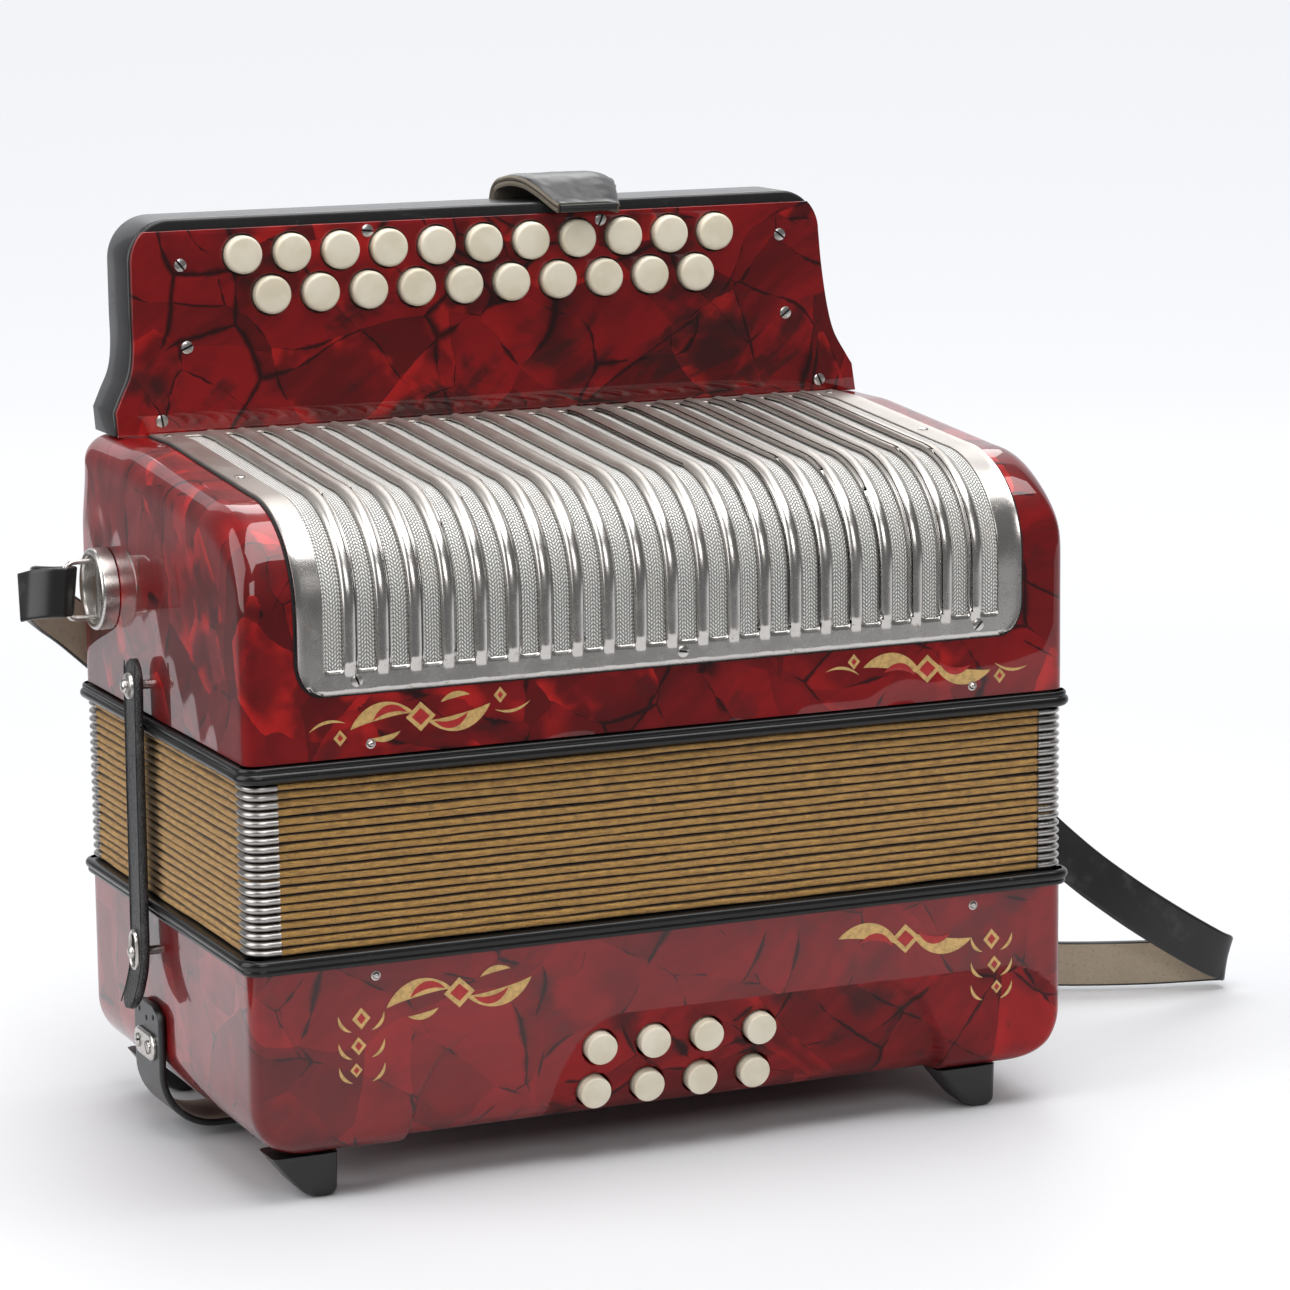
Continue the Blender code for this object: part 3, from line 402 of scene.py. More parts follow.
def leather(name, pebble, colour, pale, roughness, depth):
    """Leather: closed pebbles with fine creases between, or a smooth grain with open pores."""
    f = Finish(name, Specular_IOR_Level=0.5)
    spot = f.place()
    if pebble:
        wall = f.cells(spot, pebble, "DISTANCE_TO_EDGE").ramp(0.02, 0.30)
        lump = wall * (0.75 + f.noise(spot, pebble * 2.5, 2.0) * 0.5)
    else:
        lump = f.noise(spot, 0.55, 4.0, 0.6)
    wear = f.noise(spot, 12.0, 5.0, 0.65).ramp(0.52, 0.80)
    scratch = f.noise(stretched(f, spot, 1, 1, 0.12), 1.2, 4.0, 0.7).ramp(0.64, 0.75)
    base = f.mix(lump * 0.7, tinted(colour, 0.25), colour)
    base = f.mix(wear * 0.45 + scratch * 0.3, base, pale)
    f.set("Base Color", base)
    f.set("Roughness", roughness + wear * 0.18 - lump * 0.08)
    f.bump(lump, depth, 0.8)
    return f.material


def flesh_leather(name, light=1.0):
    """The unfinished inner side of leather: a beige nap of short fibres, with darker rubbed patches."""
    f = Finish(name, roughness=0.88, Sheen_Weight=0.2)
    spot = f.place()
    nap = f.noise(spot, 0.5, 5.0, 0.7)
    patch = f.noise(spot, 16.0, 4.0, 0.6)
    pores = f.noise(spot, 1.1, 2.0).ramp(0.60, 0.70)
    base = f.mix(nap, tinted((0.30, 0.24, 0.17), light), tinted((0.52, 0.44, 0.33), light))
    base = f.mix(patch.ramp(0.45, 0.75) * 0.5, base, tinted((0.36, 0.30, 0.22), light))
    f.set("Base Color", f.mix(pores * 0.35, base, (0.17, 0.12, 0.08)))
    f.bump(nap, 0.12)
    return f.material


def gold_leaf(name, colour, worn):
    f = Finish(name, metallic=0.25 if worn else 0.05, roughness=0.38, coat=0.3)
    spot = f.place()
    grain = f.noise(spot, 1.6, 4.0, 0.65)
    f.set("Base Color", f.mix(grain.ramp(0.35, 0.75), colour, tinted(colour, 0.62)))
    f.set("Roughness", 0.34 + grain * 0.2)
    return f.material


# Near black: painted shade for the insides of holes, pits and screw slots; the seam round the grille is also
# this dark colour.
def dark_hole(name):
    f = Finish(name, roughness=0.9)
    f.set("Base Color", f.mix(f.noise(f.place(), 1.0), (0.004, 0.004, 0.004), (0.010, 0.009, 0.009)))
    return f.material


RED_CASE = red_pearl(
    "red_pearl_case", smoke=0.26, cracked=0.45, glow=0.75, contrast=0.6, offset=(0.0, 0.0, 0.0)
)
RED_BASS = red_pearl(
    "red_pearl_bass", smoke=0.05, cracked=0.55, glow=0.10, contrast=0.35, offset=(140.0, 35.0, 80.0)
)
# The scoop's pearl: darker and less polished than the bass end's, as painted shade in the tilted scoop.
RED_SCOOP_SHADED = red_pearl(
    "red_pearl_scoop_painted_shade", smoke=0.50, cracked=0.95, glow=0.25, contrast=0.7, offset=(150.0, 35.0, 60.0),
    polish=0.30,
)
RED_PLATE = red_pearl(
    "red_pearl_plate", smoke=0.60, cracked=1.1, glow=0.55, contrast=0.9, offset=(75.0, 210.0, -30.0)
)
BLACK_WOOD = black_lacquer("black_lacquer_board", True)
BLACK_GLOSS = black_lacquer("black_lacquer_frames", False)
RUBBER = leather("foot_rubber", 0, (0.016, 0.016, 0.016), (0.06, 0.06, 0.06), 0.38, 0.03)
WOOD = bare_wood("bare_wood")
CREAM = cream_plastic("cream_plastic")
NICKEL = nickel("nickel", tarnish=0.45, roughness=0.24)
NICKEL_GRILLE = nickel("nickel_grille", tarnish=0.60, roughness=0.20, dull=1.0)
NICKEL_CLIPS = nickel("nickel_clips", tarnish=0.12, roughness=0.27, dull=0.0, shade=0.74)
CLOTH = grille_cloth("grille_cloth")
GOLD_CLOTH = bellows_cloth("bellows_cloth")
PEBBLE = leather("pebble_leather", 0.95, (0.034, 0.034, 0.035), (0.16, 0.155, 0.15), 0.40, 0.22)
SMOOTH = leather("smooth_leather", 0, (0.020, 0.020, 0.021), (0.085, 0.083, 0.080), 0.36, 0.05)
FLESH = flesh_leather("flesh_leather")
FLESH_GREY = flesh_leather("rubbed_leather_edge", 0.35)
GOLD = gold_leaf("gold_leaf", (0.66, 0.42, 0.15), True)
RED_PAINT = gold_leaf("red_paint", (0.42, 0.010, 0.010), False)
HOLE = dark_hole("dark_hole")


# ---- meshes ------------------------------------------------------------------------------------------
class Shape:
    """Points in millimetres and faces gathered from several grids, made into one mesh at the end."""

    def __init__(self):
        self.points, self.faces, self.flats, self.slots, self.count = [], [], [], [], 0

    def grid(self, points, around=False, across=False, flat=None, slot=0):
        """Quads between neighbours in rows and columns of points. around closes the rows on themselves,
        across the columns. flat gives a row's and a column's place in the piece's own flat frame."""
        points = np.asarray(points, float)
        rows, columns = points.shape[:2]
        index = np.arange(rows * columns).reshape(rows, columns) + self.count
        if around:
            index = np.vstack([index, index[:1]])
        if across:
            index = np.hstack([index, index[:, :1]])
        corners = (index[:-1, :-1], index[1:, :-1], index[1:, 1:], index[:-1, 1:])
        quads = np.stack(corners, -1).reshape(-1, 4)
        r, c = index.shape
        u = np.arange(r, dtype=float) if flat is None else np.asarray(flat[0], float)
        v = np.arange(c, dtype=float) if flat is None else np.asarray(flat[1], float)
        both = np.stack(np.meshgrid(u, v, indexing="ij"), -1)
        flats = np.stack([both[:-1, :-1], both[1:, :-1], both[1:, 1:], both[:-1, 1:]], 2).reshape(-1, 4, 2)
        kept = np.asarray(slot)
        if kept.ndim == 2:
            slots = kept.reshape(-1)
        elif kept.ndim == 1:
            slots = np.tile(kept, r - 1)
        else:
            slots = np.full(len(quads), slot)
        self.points.append(points.reshape(-1, 3))
        self.faces += quads.tolist()
        self.flats.append(flats.reshape(-1, 2))
        self.slots += slots.tolist()
        self.count += rows * columns
        return index

    def cap(self, ring, slot=0):
        """One flat face over a ring of points, given by their numbers."""
        self.faces.append([int(i) for i in ring])
        self.flats.append(np.zeros((len(ring), 2)))
        self.slots.append(slot)

    def close(self, index, slot=0):
        """Closes the first and the last ring of a grid."""
        for end in (0, -1):
            self.cap(index[end][:-1], slot)

    def make(self, name, finishes, body, slot, replaces=(), is_open=False, crease=35):
        """The finished piece. A closed one has its faces turned outwards; an open one faces the way it is
        drawn. Points that fall together are merged."""
        mesh = bpy.data.meshes.new(name)
        points = np.concatenate(self.points) * MM + ORIGIN
        mesh.from_pydata(points.tolist(), [], self.faces)
        mesh.polygons.foreach_set("material_index", self.slots)
        flat = mesh.uv_layers.new(name="flat")
        flat.data.foreach_set("uv", np.concatenate(self.flats).ravel())
        for finish in finishes:
            mesh.materials.append(finish)
        bm = bmesh.new()
        bm.from_mesh(mesh)
        bmesh.ops.remove_doubles(bm, verts=bm.verts, dist=2e-6)
        bmesh.ops.dissolve_degenerate(bm, edges=bm.edges, dist=1e-6)
        if not is_open:
            bmesh.ops.recalc_face_normals(bm, faces=bm.faces)
        bm.to_mesh(mesh)
        bm.free()
        mesh.shade_smooth()
        mesh.set_sharp_from_angle(angle=math.radians(crease))
        piece = bpy.data.objects.new(name, mesh)
        bpy.context.scene.collection.objects.link(piece)
        if body:
            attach(piece, body)
        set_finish(piece, slot)
        if replaces:
            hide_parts(*replaces)
        return piece


def unit(v):
    return v / np.linalg.norm(v, axis=-1, keepdims=True)


def ease(t):
    """The smooth step 3t^2 - 2t^3."""
    return t * t * (3 - 2 * t)


def run_of(line):
    """How far along a line of points each point is."""
    return np.concatenate([[0], np.cumsum(np.linalg.norm(np.diff(line, axis=0), axis=1))])


def outward(line, closed=False):
    """Unit vectors to the right of the way that a flat line of points runs."""
    along = unit(np.roll(line, -1, 0) - np.roll(line, 1, 0) if closed else np.gradient(line, axis=0))
    return np.stack([along[:, 1], -along[:, 0]], 1)


def arc(cx, cy, radius, start, end, steps):
    """Points on a circle or ellipse, from one angle in degrees to another, both included."""
    wide, high = radius if isinstance(radius, tuple) else (radius, radius)
    a = np.radians(np.linspace(start, end, steps + 1))
    return np.stack([cx + wide * np.cos(a), cy + high * np.sin(a)], 1)


def evenly(line, count, closed=False):
    """count points evenly spaced along a line of points."""
    line = np.vstack([line, line[:1]]) if closed else np.asarray(line, float)
    run = run_of(line)
    at = np.linspace(0, run[-1], count + 1)[:-1] if closed else np.linspace(0, run[-1], count)
    return np.stack([np.interp(at, run, line[:, i]) for i in range(line.shape[1])], 1)


def flow(stations, count):
    """A Catmull-Rom curve through rows of numbers, read at count even steps."""
    rows = np.array(stations, float)
    rows = np.vstack([2 * rows[0] - rows[1], rows, 2 * rows[-1] - rows[-2]])
    at = np.linspace(0, len(stations) - 1, count)
    k = np.minimum(at.astype(int), len(stations) - 2)
    t = (at - k)[:, None]
    a, b, c, d = rows[k], rows[k + 1], rows[k + 2], rows[k + 3]
    return 0.5 * (2 * b + (c - a) * t + (2 * a - 5 * b + 4 * c - d) * t**2 + (3 * b - a - 3 * c + d) * t**3)


def ripple(points, seed, size, count=9):
    """Gentle waves, from -1 to 1: a sum of sines along fixed directions of about that wavelength."""
    draw = np.random.default_rng(seed)
    ways = unit(draw.normal(size=(count, 3))) * (2 * np.pi / size) * draw.uniform(0.6, 1.6, (count, 1))
    return np.sin(points @ ways.T + draw.uniform(0, 6.28, count)).sum(-1) / math.sqrt(count) / 1.4


def rectangle(half_x, half_y, radius, corner=8, side=2, end=2):
    """The closed outline of a rectangle with round corners, anticlockwise from the right side's top."""
    x, y = half_x - radius, half_y - radius
    line = [arc(x, y, radius, 0, 90, corner)]
    line.append(np.stack([np.linspace(x, -x, side + 1), np.full(side + 1, half_y)], 1)[1:])
    line.append(arc(-x, y, radius, 90, 180, corner)[1:])
    line.append(np.stack([np.full(end + 1, -half_x), np.linspace(y, -y, end + 1)], 1)[1:])
    line.append(arc(-x, -y, radius, 180, 270, corner)[1:])
    line.append(np.stack([np.linspace(-x, x, side + 1), np.full(side + 1, -half_y)], 1)[1:])
    line.append(arc(x, -y, radius, 270, 360, corner)[1:])
    line.append(np.stack([np.full(end + 1, half_x), np.linspace(-y, y, end + 1)], 1)[1:-1])
    return np.concatenate(line)


# ---- the treble end's skin ---------------------------------------------------------------------------
def treble_line():
    """(y, z) points and outward normals round the treble end's section, from the foot of its back over the
    top to the foot of its front, closely spaced. Its corners are arcs, and its normals are smoothed."""
    slope_top = TREBLE_TOP - 6.6
    back = np.array([(HALF_Y, TREBLE_BOTTOM), (HALF_Y, TREBLE_TOP - 9)])
    corner = arc(HALF_Y - 9, TREBLE_TOP - 9, 9, 0, 90, 24)
    flat = np.array([(34.0, TREBLE_TOP)])
    front = arc(-45, 184, (37, slope_top - 184), 90, 180, 60)
    foot = np.array([(-HALF_Y, TREBLE_BOTTOM)])
    line = evenly(np.concatenate([back, corner, flat, front, foot]), 1201)
    kernel = np.hanning(41) / np.hanning(41).sum()
    middle = np.stack([np.convolve(np.pad(line[:, i], 20, "edge"), kernel, "valid") for i in (0, 1)], 1)
    mask = np.clip((np.minimum(np.arange(1201), 1200 - np.arange(1201)) - 40) / 40, 0, 1)[:, None]
    line = line * (1 - mask) + middle * mask
    return line, outward(line)


SKIN, SKIN_OUT = treble_line()
SKIN_RUN = run_of(SKIN)


def on_skin(x, run, lift):
    """The point at that x, at that distance along the section, lifted off the skin along its normal."""
    x, run, lift = np.broadcast_arrays(np.asarray(x, float), run, lift)
    y, z = (np.interp(run, SKIN_RUN, SKIN[:, i]) for i in (0, 1))
    ny, nz = (np.interp(run, SKIN_RUN, SKIN_OUT[:, i]) for i in (0, 1))
    return np.stack([x, y + ny * lift, z + nz * lift], -1)


def run_at_y(y):
    """How far along the section its top is at that y."""
    top = slice(250, 900)
    return float(np.interp(-y, -SKIN[top, 0], SKIN_RUN[top]))


def run_at_z(z):
    """How far along the section its front is at that height."""
    return float(np.interp(-z, -SKIN[800:, 1], SKIN_RUN[800:]))


def treble_case():
    """A closed loop, the section and its foot line, carried along x. Towards each end the loop draws in by
    a quarter circle, of 9.5 mm over the top and 4.5 mm at the front and back, and the flat side is the same
    loop shrunk to its middle line."""
    run = np.linspace(0, SKIN_RUN[-1], 200)
    top = np.clip((on_skin(0, run, 0)[:, 2] - 190) / 22, 0, 1)
    radius = 4.5 + 5.0 * ease(top)
    foot = np.stack([np.linspace(-HALF_Y, HALF_Y, 40), np.full(40, TREBLE_BOTTOM)], 1)[1:-1]
    section = on_skin(0, run, 0)[:, 1:]
    out = on_skin(0, run, 1)[:, 1:] - section
    section = np.vstack([section, foot])
    out = np.vstack([out, np.zeros_like(foot)])
    radius = np.concatenate([radius, np.full(len(foot), 4.5)])
    rows, spread = [], []
    for turn in np.radians(np.linspace(90, 0, 11)):
        inset = radius * (1 - math.cos(turn))
        x = HALF_X - radius * (1 - math.sin(turn))
        rows.append(np.column_stack([x, section - out * inset[:, None]]))
    rim = rows[0][:, 1:]
    middle = np.stack([np.clip(rim[:, 0], -30, 30), np.full(len(rim), 178.0)], 1)
    for share in np.linspace(0, 1, 22)[1:]:
        inner = rim + (middle - rim) * share
        spread.append(np.column_stack([np.full(len(rim), HALF_X), inner]))
    right = np.array(spread[::-1] + rows)
    left = right[::-1] * (-1, 1, 1)
    span = np.linspace(1, -1, 72)[1:-1]
    ends = right[-1]
    between = np.array([np.column_stack([ends[:, 0] * s, ends[:, 1:]]) for s in span])
    points = np.concatenate([right, between, left])
    wave = ripple(points, 5, 26.0) * 0.035
    points[..., 0] += np.where(np.abs(points[..., 0]) > HALF_X - 1, wave, 0) * np.sign(points[..., 0])
    front = (points[..., 1] < -HALF_Y + 1) & (points[..., 2] > TREBLE_BOTTOM + 1)
    points[..., 1] += np.where(front, wave, 0)
    shape = Shape()
    shape.grid(points, across=True)
    shape.make("treble_case_shell", [RED_CASE], "treble_body", "red_celluloid", ["treble_case"], crease=50)


# ---- grille ------------------------------------------------------------------------------------------
GRILLE_HALF, GRILLE_CORNER, GRILLE_THICK = 124.0, 11.0, 0.55
SLOT_PITCH, SLOT_WIDE, SLOT_COUNT, SLOT_CORNER = 10.69, 5.9, 22, 1.0
CORNER_SHARE = 0.75  # the width of the lower corners, as a share of their height
BEAD_HIGH, SHEET_LIFT = 2.0, 0.9


def grille_side(run, bottom):
    """Half the grille's width at each place along the section: it is full down to the lower corners."""
    low = np.clip(run - (bottom - GRILLE_CORNER), 0, GRILLE_CORNER)
    return GRILLE_HALF - (GRILLE_CORNER - np.sqrt(GRILLE_CORNER**2 - low**2)) * CORNER_SHARE


def grille():
    """One sheet with 22 long slots whose corners are rounded. Its columns stand on the slots' edges. The 21
    ribs between the slots rise as round beads, and the slots flare towards their lower ends."""
    top, slot_top = run_at_y(55.4), run_at_y(46.5)
    slot_end, bottom = run_at_z(166.2), run_at_z(158.6)
    half, rib_half = SLOT_WIDE / 2, (SLOT_PITCH - SLOT_WIDE) / 2
    slots = SLOT_PITCH * (np.arange(SLOT_COUNT) - (SLOT_COUNT - 1) / 2)
    inner = slots[-1] + half
    columns, kinds = [], []
    across = np.array([-1, -0.97, -0.88, -0.72, -0.4, 0, 0.4, 0.72, 0.88, 0.97, 1])
    for i, centre in enumerate(slots):
        columns += [centre + half * t for t in across[:-1]]
        kinds += ["slot"] * (len(across) - 1)
        if i < SLOT_COUNT - 1:
            rib = (slots[i + 1] + centre) / 2
            columns += [rib + rib_half * t for t in (-1, -0.9, -0.72, -0.5, -0.25, 0, 0.25, 0.5, 0.72, 0.9)]
            kinds += ["rib"] * 10
    columns.append(inner)
    edge = np.array([0, 0.25, 1.0, 2.2, 4.0, 6.0, 7.4, 8.2, 8.6]) / 8.6
    x = np.array(columns)
    nearest = slots[np.argmin(np.abs(x[:, None] - slots), 1)]
    off = np.clip(np.abs(x - nearest) / half, 0, 1)
    turn_in = np.clip((off - 1) * half / SLOT_CORNER + 1, 0, 1)
    round_in = SLOT_CORNER * (1 - np.sqrt(1 - turn_in**2))
    start, stop = slot_top + round_in, slot_end - round_in
    edge_share, slot_share = np.linspace(0, 1, 6)[:, None], np.linspace(0, 1, 90)[1:-1, None]
    spans = ((top, start, edge_share), (start, stop, slot_share), (stop, bottom, edge_share))
    runs = np.concatenate([a + (b - a) * share for a, b, share in spans])
    rib_x = nearest + np.sign(x - nearest) * SLOT_PITCH / 2
    bead = np.abs(x - rib_x) / rib_half
    on_rib = (off >= 1) & (np.abs(x) < inner - 0.1)
    bead = np.where(on_rib, bead, 1.0)
    height = np.where(on_rib, BEAD_HIGH * np.clip(1 - bead**2.4, 0, 1) ** 0.6, 0.0)
    into = np.clip((runs - slot_top + 1.0) / 4.0, 0, 1) * np.clip((slot_end + 0.9 - runs) / 2.0, 0, 1)
    lift = SHEET_LIFT + height * ease(into)
    flare = 0.16 * np.clip((runs - slot_end + 6.0) / 6.0, 0, 1.2) ** 2
    narrowed = rib_x + (x - rib_x) * (1 - flare * SLOT_WIDE / (SLOT_PITCH - SLOT_WIDE))
    flared = np.where(on_rib, narrowed, nearest + (x - nearest) * (1 + flare))
    points = on_skin(np.where(np.abs(x) < inner - half, flared, x), runs, lift)
    shape = Shape()
    n, m = points.shape[:2]
    index = np.arange(n * m).reshape(n, m)
    shape.points.append(points.reshape(-1, 3))
    shape.count = n * m
    quads = np.stack([index[:-1, :-1], index[1:, :-1], index[1:, 1:], index[:-1, 1:]], -1)
    in_slot = (np.array(kinds) == "slot")[None, :]
    middle = (np.arange(n - 1) >= 5) & (np.arange(n - 1) < n - 6)
    kept = quads[~(in_slot & middle[:, None])]
    shape.faces += kept.tolist()
    shape.flats.append(np.zeros((len(kept) * 4, 2)))
    shape.slots += [0] * len(kept)
    for side in (-1, 1):
        run = runs[:, -1] if side > 0 else runs[:, 0]
        xs = inner + (grille_side(run, bottom) - inner)[:, None] * edge
        rim = 0.35 * np.exp(-(((edge - 0.93) / 0.05) ** 2))
        fall = np.where(edge > 0.97, -0.5, 0.0)
        border = on_skin(side * xs, run[:, None], SHEET_LIFT + (rim + fall)[None, :])
        shape.grid(border if side < 0 else border[:, ::-1])
    sheet = shape.make(
        "grille_sheet", [NICKEL_GRILLE], "treble_body", "nickel", ["grille"], is_open=True, crease=60
    )
    face_outwards(sheet)
    thicken(sheet, GRILLE_THICK)
    grille_gasket(top, bottom)


def grille_gasket(top, bottom):
    """The dark seam round the grille: a flat bar carried down one side, along the foot and up the other."""
    bend = bottom - GRILLE_CORNER
    corner_run = bend + GRILLE_CORNER * np.sin(np.radians(np.linspace(0, 90, 12)))[1:]
    run = np.concatenate([np.linspace(top, bend, 60), corner_run])
    wide = grille_side(run, bottom)
    side = np.stack([wide, run], 1)
    foot = [(x, bottom) for x in np.linspace(wide[-1], -wide[-1], 60)[1:-1]]
    line = np.vstack([side, foot, side[::-1] * (-1, 1)])
    out = outward(line)
    seam = [(0.55, 0.05), (0.55, 0.42), (-3.0, 0.42), (-3.0, 0.05)]
    gasket = Shape()
    rows = [on_skin(*(line + out * reach).T, height) for reach, height in seam]
    index = gasket.grid(np.array(rows), around=True)
    gasket.cap(index[:-1, 0])
    gasket.cap(index[:-1, -1])
    gasket.make("grille_gasket", [HOLE], "treble_body", "black_leather")


def face_outwards(piece, middle=(0, 20, 160)):
    """Turns an open sheet's faces to look away from a point inside the box."""
    mesh = piece.data
    bm = bmesh.new()
    bm.from_mesh(mesh)
    inside = Vector(np.array(middle) * MM + ORIGIN)
    turned = [face for face in bm.faces if face.normal.dot(face.calc_center_median() - inside) < 0]
    if turned:
        bmesh.ops.reverse_faces(bm, faces=turned)
    bm.to_mesh(mesh)
    bm.free()


def thicken(piece, thickness):
    """Gives an open sheet a thickness, below its drawn face."""
    solid = piece.modifiers.new("thickness", "SOLIDIFY")
    solid.thickness = thickness * MM
    solid.offset = -1


def cloth_behind_grille():
    """The woven cloth: the skin's own surface, a hair above it, inside the border of the grille."""
    run = np.linspace(run_at_y(50), run_at_z(162), 60)
    x = np.linspace(-119, 119, 60)
    shape = Shape()
    shape.grid(on_skin(x[None, :], run[:, None], 0.30), flat=(run, x))
    piece = shape.make(
        "woven_grille_cloth", [CLOTH], "treble_body", "grille_mesh", ["grille_cloth"], is_open=True
    )
    face_outwards(piece)
    thicken(piece, 0.2)


# ---- bass end ----------------------------------------------------------------------------------------
RECESS = [
    (-93, 5), (-90, 17.7), (-86.5, 30), (-81, 40), (-74, 46.5), (-66, 49.8), (-35, 51.2), (30, 51.5),
    (60, 50.8), (72, 49.5), (82, 45.5), (90, 38), (95, 27), (96, 17.7), (96, 5),
]  # fmt: skip


def inside_by(x, z, outline):
    """How far each point is inside a closed outline, in millimetres, and below zero outside: the distance
    to the nearest side, with the sign from counting the sides to its right."""
    corners = np.array(outline, float)
    a, b = corners, np.roll(corners, -1, 0)
    p = np.stack([x, z], -1)[..., None, :]
    side = b - a
    t = np.clip(((p - a) * side).sum(-1) / (side**2).sum(-1), 0, 1)
    distance = np.linalg.norm(p - (a + t[..., None] * side), axis=-1).min(-1)
    crosses = (a[:, 1] > p[..., 1]) != (b[:, 1] > p[..., 1])
    at = (b[:, 0] - a[:, 0]) * (p[..., 1] - a[:, 1]) / np.where(side[:, 1] == 0, 1e-9, side[:, 1]) + a[:, 0]
    odd = (crosses & (p[..., 0] < at)).sum(-1) % 2 == 1
    return np.where(odd, distance, -distance)


def recess_depth(x, z):
    """How far the front is scooped: a plane that tilts in towards the bottom, eased in at its outline."""
    t = np.clip(inside_by(x, z, evenly(np.array(RECESS, float), 90)) / 1.5 + 0.4, 0, 1)
    return np.clip(RECESS_TOP - z, 0, None) * math.tan(TILT) * ease(t)


def bass_shell():
    """Level slices, each a rectangle with round corners, that draw in towards the bottom by an arc of
    17 mm at the sides and 8 mm at the front, closed under the box and over its top. The scoop has a darker
    pearl as painted shade, and the buttons' pits are cut out of it, near black inside as painted shade."""
    side_arc, front_arc = 17, 8
    side_start, front_start = BASS_BOTTOM + side_arc, BASS_BOTTOM + front_arc
    steep = BASS_BOTTOM + side_arc * (1 - np.cos(np.radians(np.linspace(0, 90, 22))))
    heights = np.concatenate([steep, np.linspace(side_start, BASS_TOP, 56)[1:]])
    rows = []
    for z in heights:
        low_x, low_y = max(0.0, side_start - z), max(0.0, front_start - z)
        half_x = HALF_X - (side_arc - math.sqrt(side_arc**2 - low_x**2))
        half_y = HALF_Y - (front_arc - math.sqrt(front_arc**2 - low_y**2))
        ring = rectangle(half_x, half_y, 5.0, 6, 260, 60)
        rows.append(np.column_stack([ring, np.full(len(ring), z)]))
    points = np.array(rows)
    wave = ripple(points, 8, 26.0) * 0.035
    sides = np.abs(points[..., 0]) > HALF_X - 0.01
    points[..., 0] += np.where(sides, wave, 0) * np.sign(points[..., 0])
    front = points[..., 1] < -HALF_Y + 8.1
    flat = np.abs(points[..., 0]) < HALF_X - 6
    points[..., 1] += np.where(front & flat, recess_depth(points[..., 0], points[..., 2]) + wave * 0.8, 0)
    shape = Shape()
    index = shape.grid(points, across=True)
    shape.close(index)
    shell = shape.make("bass_case_shell", [RED_BASS], None, "red_celluloid", crease=50)
    # The pits round the buttons take the near-black finish on their walls and floors: painted shade.
    pits = Shape()
    for x, z in BASS_SPOTS:
        pit(pits, (x, *floor_of_recess(z)), BASS_FACING, 6.1, 8.5)
    pit(pits, AIR_BUTTON, (0, 1, 0), 7.6, 8.5)
    tool = pits.make("button_pits", [HOLE], None, "foot_rubber")
    subtract(shell, tool)
    shell.data.materials.append(HOLE)
    # The third finish is painted shade: a darker pearl for the scoop.
    shell.data.materials.append(RED_SCOOP_SHADED)
    paint_scoop_shade(shell.data.polygons)
    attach(shell, "bass_body")
    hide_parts("bass_case")


def paint_scoop_shade(faces):
    """Gives the third finish, the darker pearl that paints shade into the scoop, to the faces of the front
    scooped by more than about half a millimetre.
    """
    centres, finish = np.empty(3 * len(faces)), np.empty(len(faces), np.int32)
    faces.foreach_get("center", centres)
    faces.foreach_get("material_index", finish)
    x, y, z = centres.reshape(-1, 3).T / MM
    finish[(y < 0) & (finish == 0) & (recess_depth(x, z) > 0.55) & (z > BASS_BOTTOM + 0.1)] = 2
    faces.foreach_set("material_index", finish)


def floor_of_recess(z):
    """(y, z) on the tilted floor that the bass buttons stand in."""
    return -HALF_Y + (RECESS_TOP - z) * math.tan(TILT), z


def frame_of(axis):
    """Two directions square to an axis and to each other."""
    axis = np.asarray(axis, float)
    side = np.cross(axis, (0, 0, 1) if abs(axis[2]) < 0.9 else (0, 1, 0))
    side /= np.linalg.norm(side)
    return side, np.cross(axis, side)


def turned(shape, centre, axis, profile, steps=48):
    """A closed solid of revolution: (radius, height) pairs carried round an axis, with height along it."""
    side, over = frame_of(axis)
    profile = np.array(profile, float)
    angle = np.linspace(0, 2 * np.pi, steps, endpoint=False)
    ring = np.cos(angle)[:, None] * side + np.sin(angle)[:, None] * over
    radius, height = profile[:, 0][:, None], profile[:, 1][:, None]
    index = shape.grid(np.asarray(centre) + ring[:, None] * radius + np.asarray(axis) * height, around=True)
    for column in (0, -1):
        if profile[column, 0] > 0:
            shape.cap(index[:-1, column])


def pit(shape, centre, axis, radius, depth):
    """A plain round cutter from depth below a face to depth above it."""
    turned(shape, centre, axis, [(radius, depth), (radius, -depth)], 40)


def subtract(piece, tool):
    """Cuts tool out of piece for good, then throws the tool away."""
    cutting = piece.modifiers.new("cut", "BOOLEAN")
    cutting.operation, cutting.object = "DIFFERENCE", tool
    seen = piece.evaluated_get(bpy.context.evaluated_depsgraph_get())
    result = bpy.data.meshes.new_from_object(seen)
    piece.modifiers.clear()
    piece.data = result
    bpy.data.objects.remove(tool)


def button(name, spot, axis, radius, proud, body, edge=1.2):
    """A cap with a softly rounded edge and a very slightly crowned top, and its stem."""
    rounding = arc(radius - edge, proud - edge - 0.12, (edge, edge), 90, 0, 8)
    crown = [(radius * t, proud - 0.12 * t * t) for t in (0.0, 0.25, 0.5, 0.7)]
    skirt, stem, foot = -3.8, 2.2, -12.5
    lower = [(radius, 0), (radius, skirt), (stem, skirt), (stem, foot), (0, foot)]
    shape = Shape()
    turned(shape, spot, axis, crown + [tuple(p) for p in rounding] + lower)
    shape.make(name + "_cap", [CREAM], body, "cream_plastic", [name], crease=50)


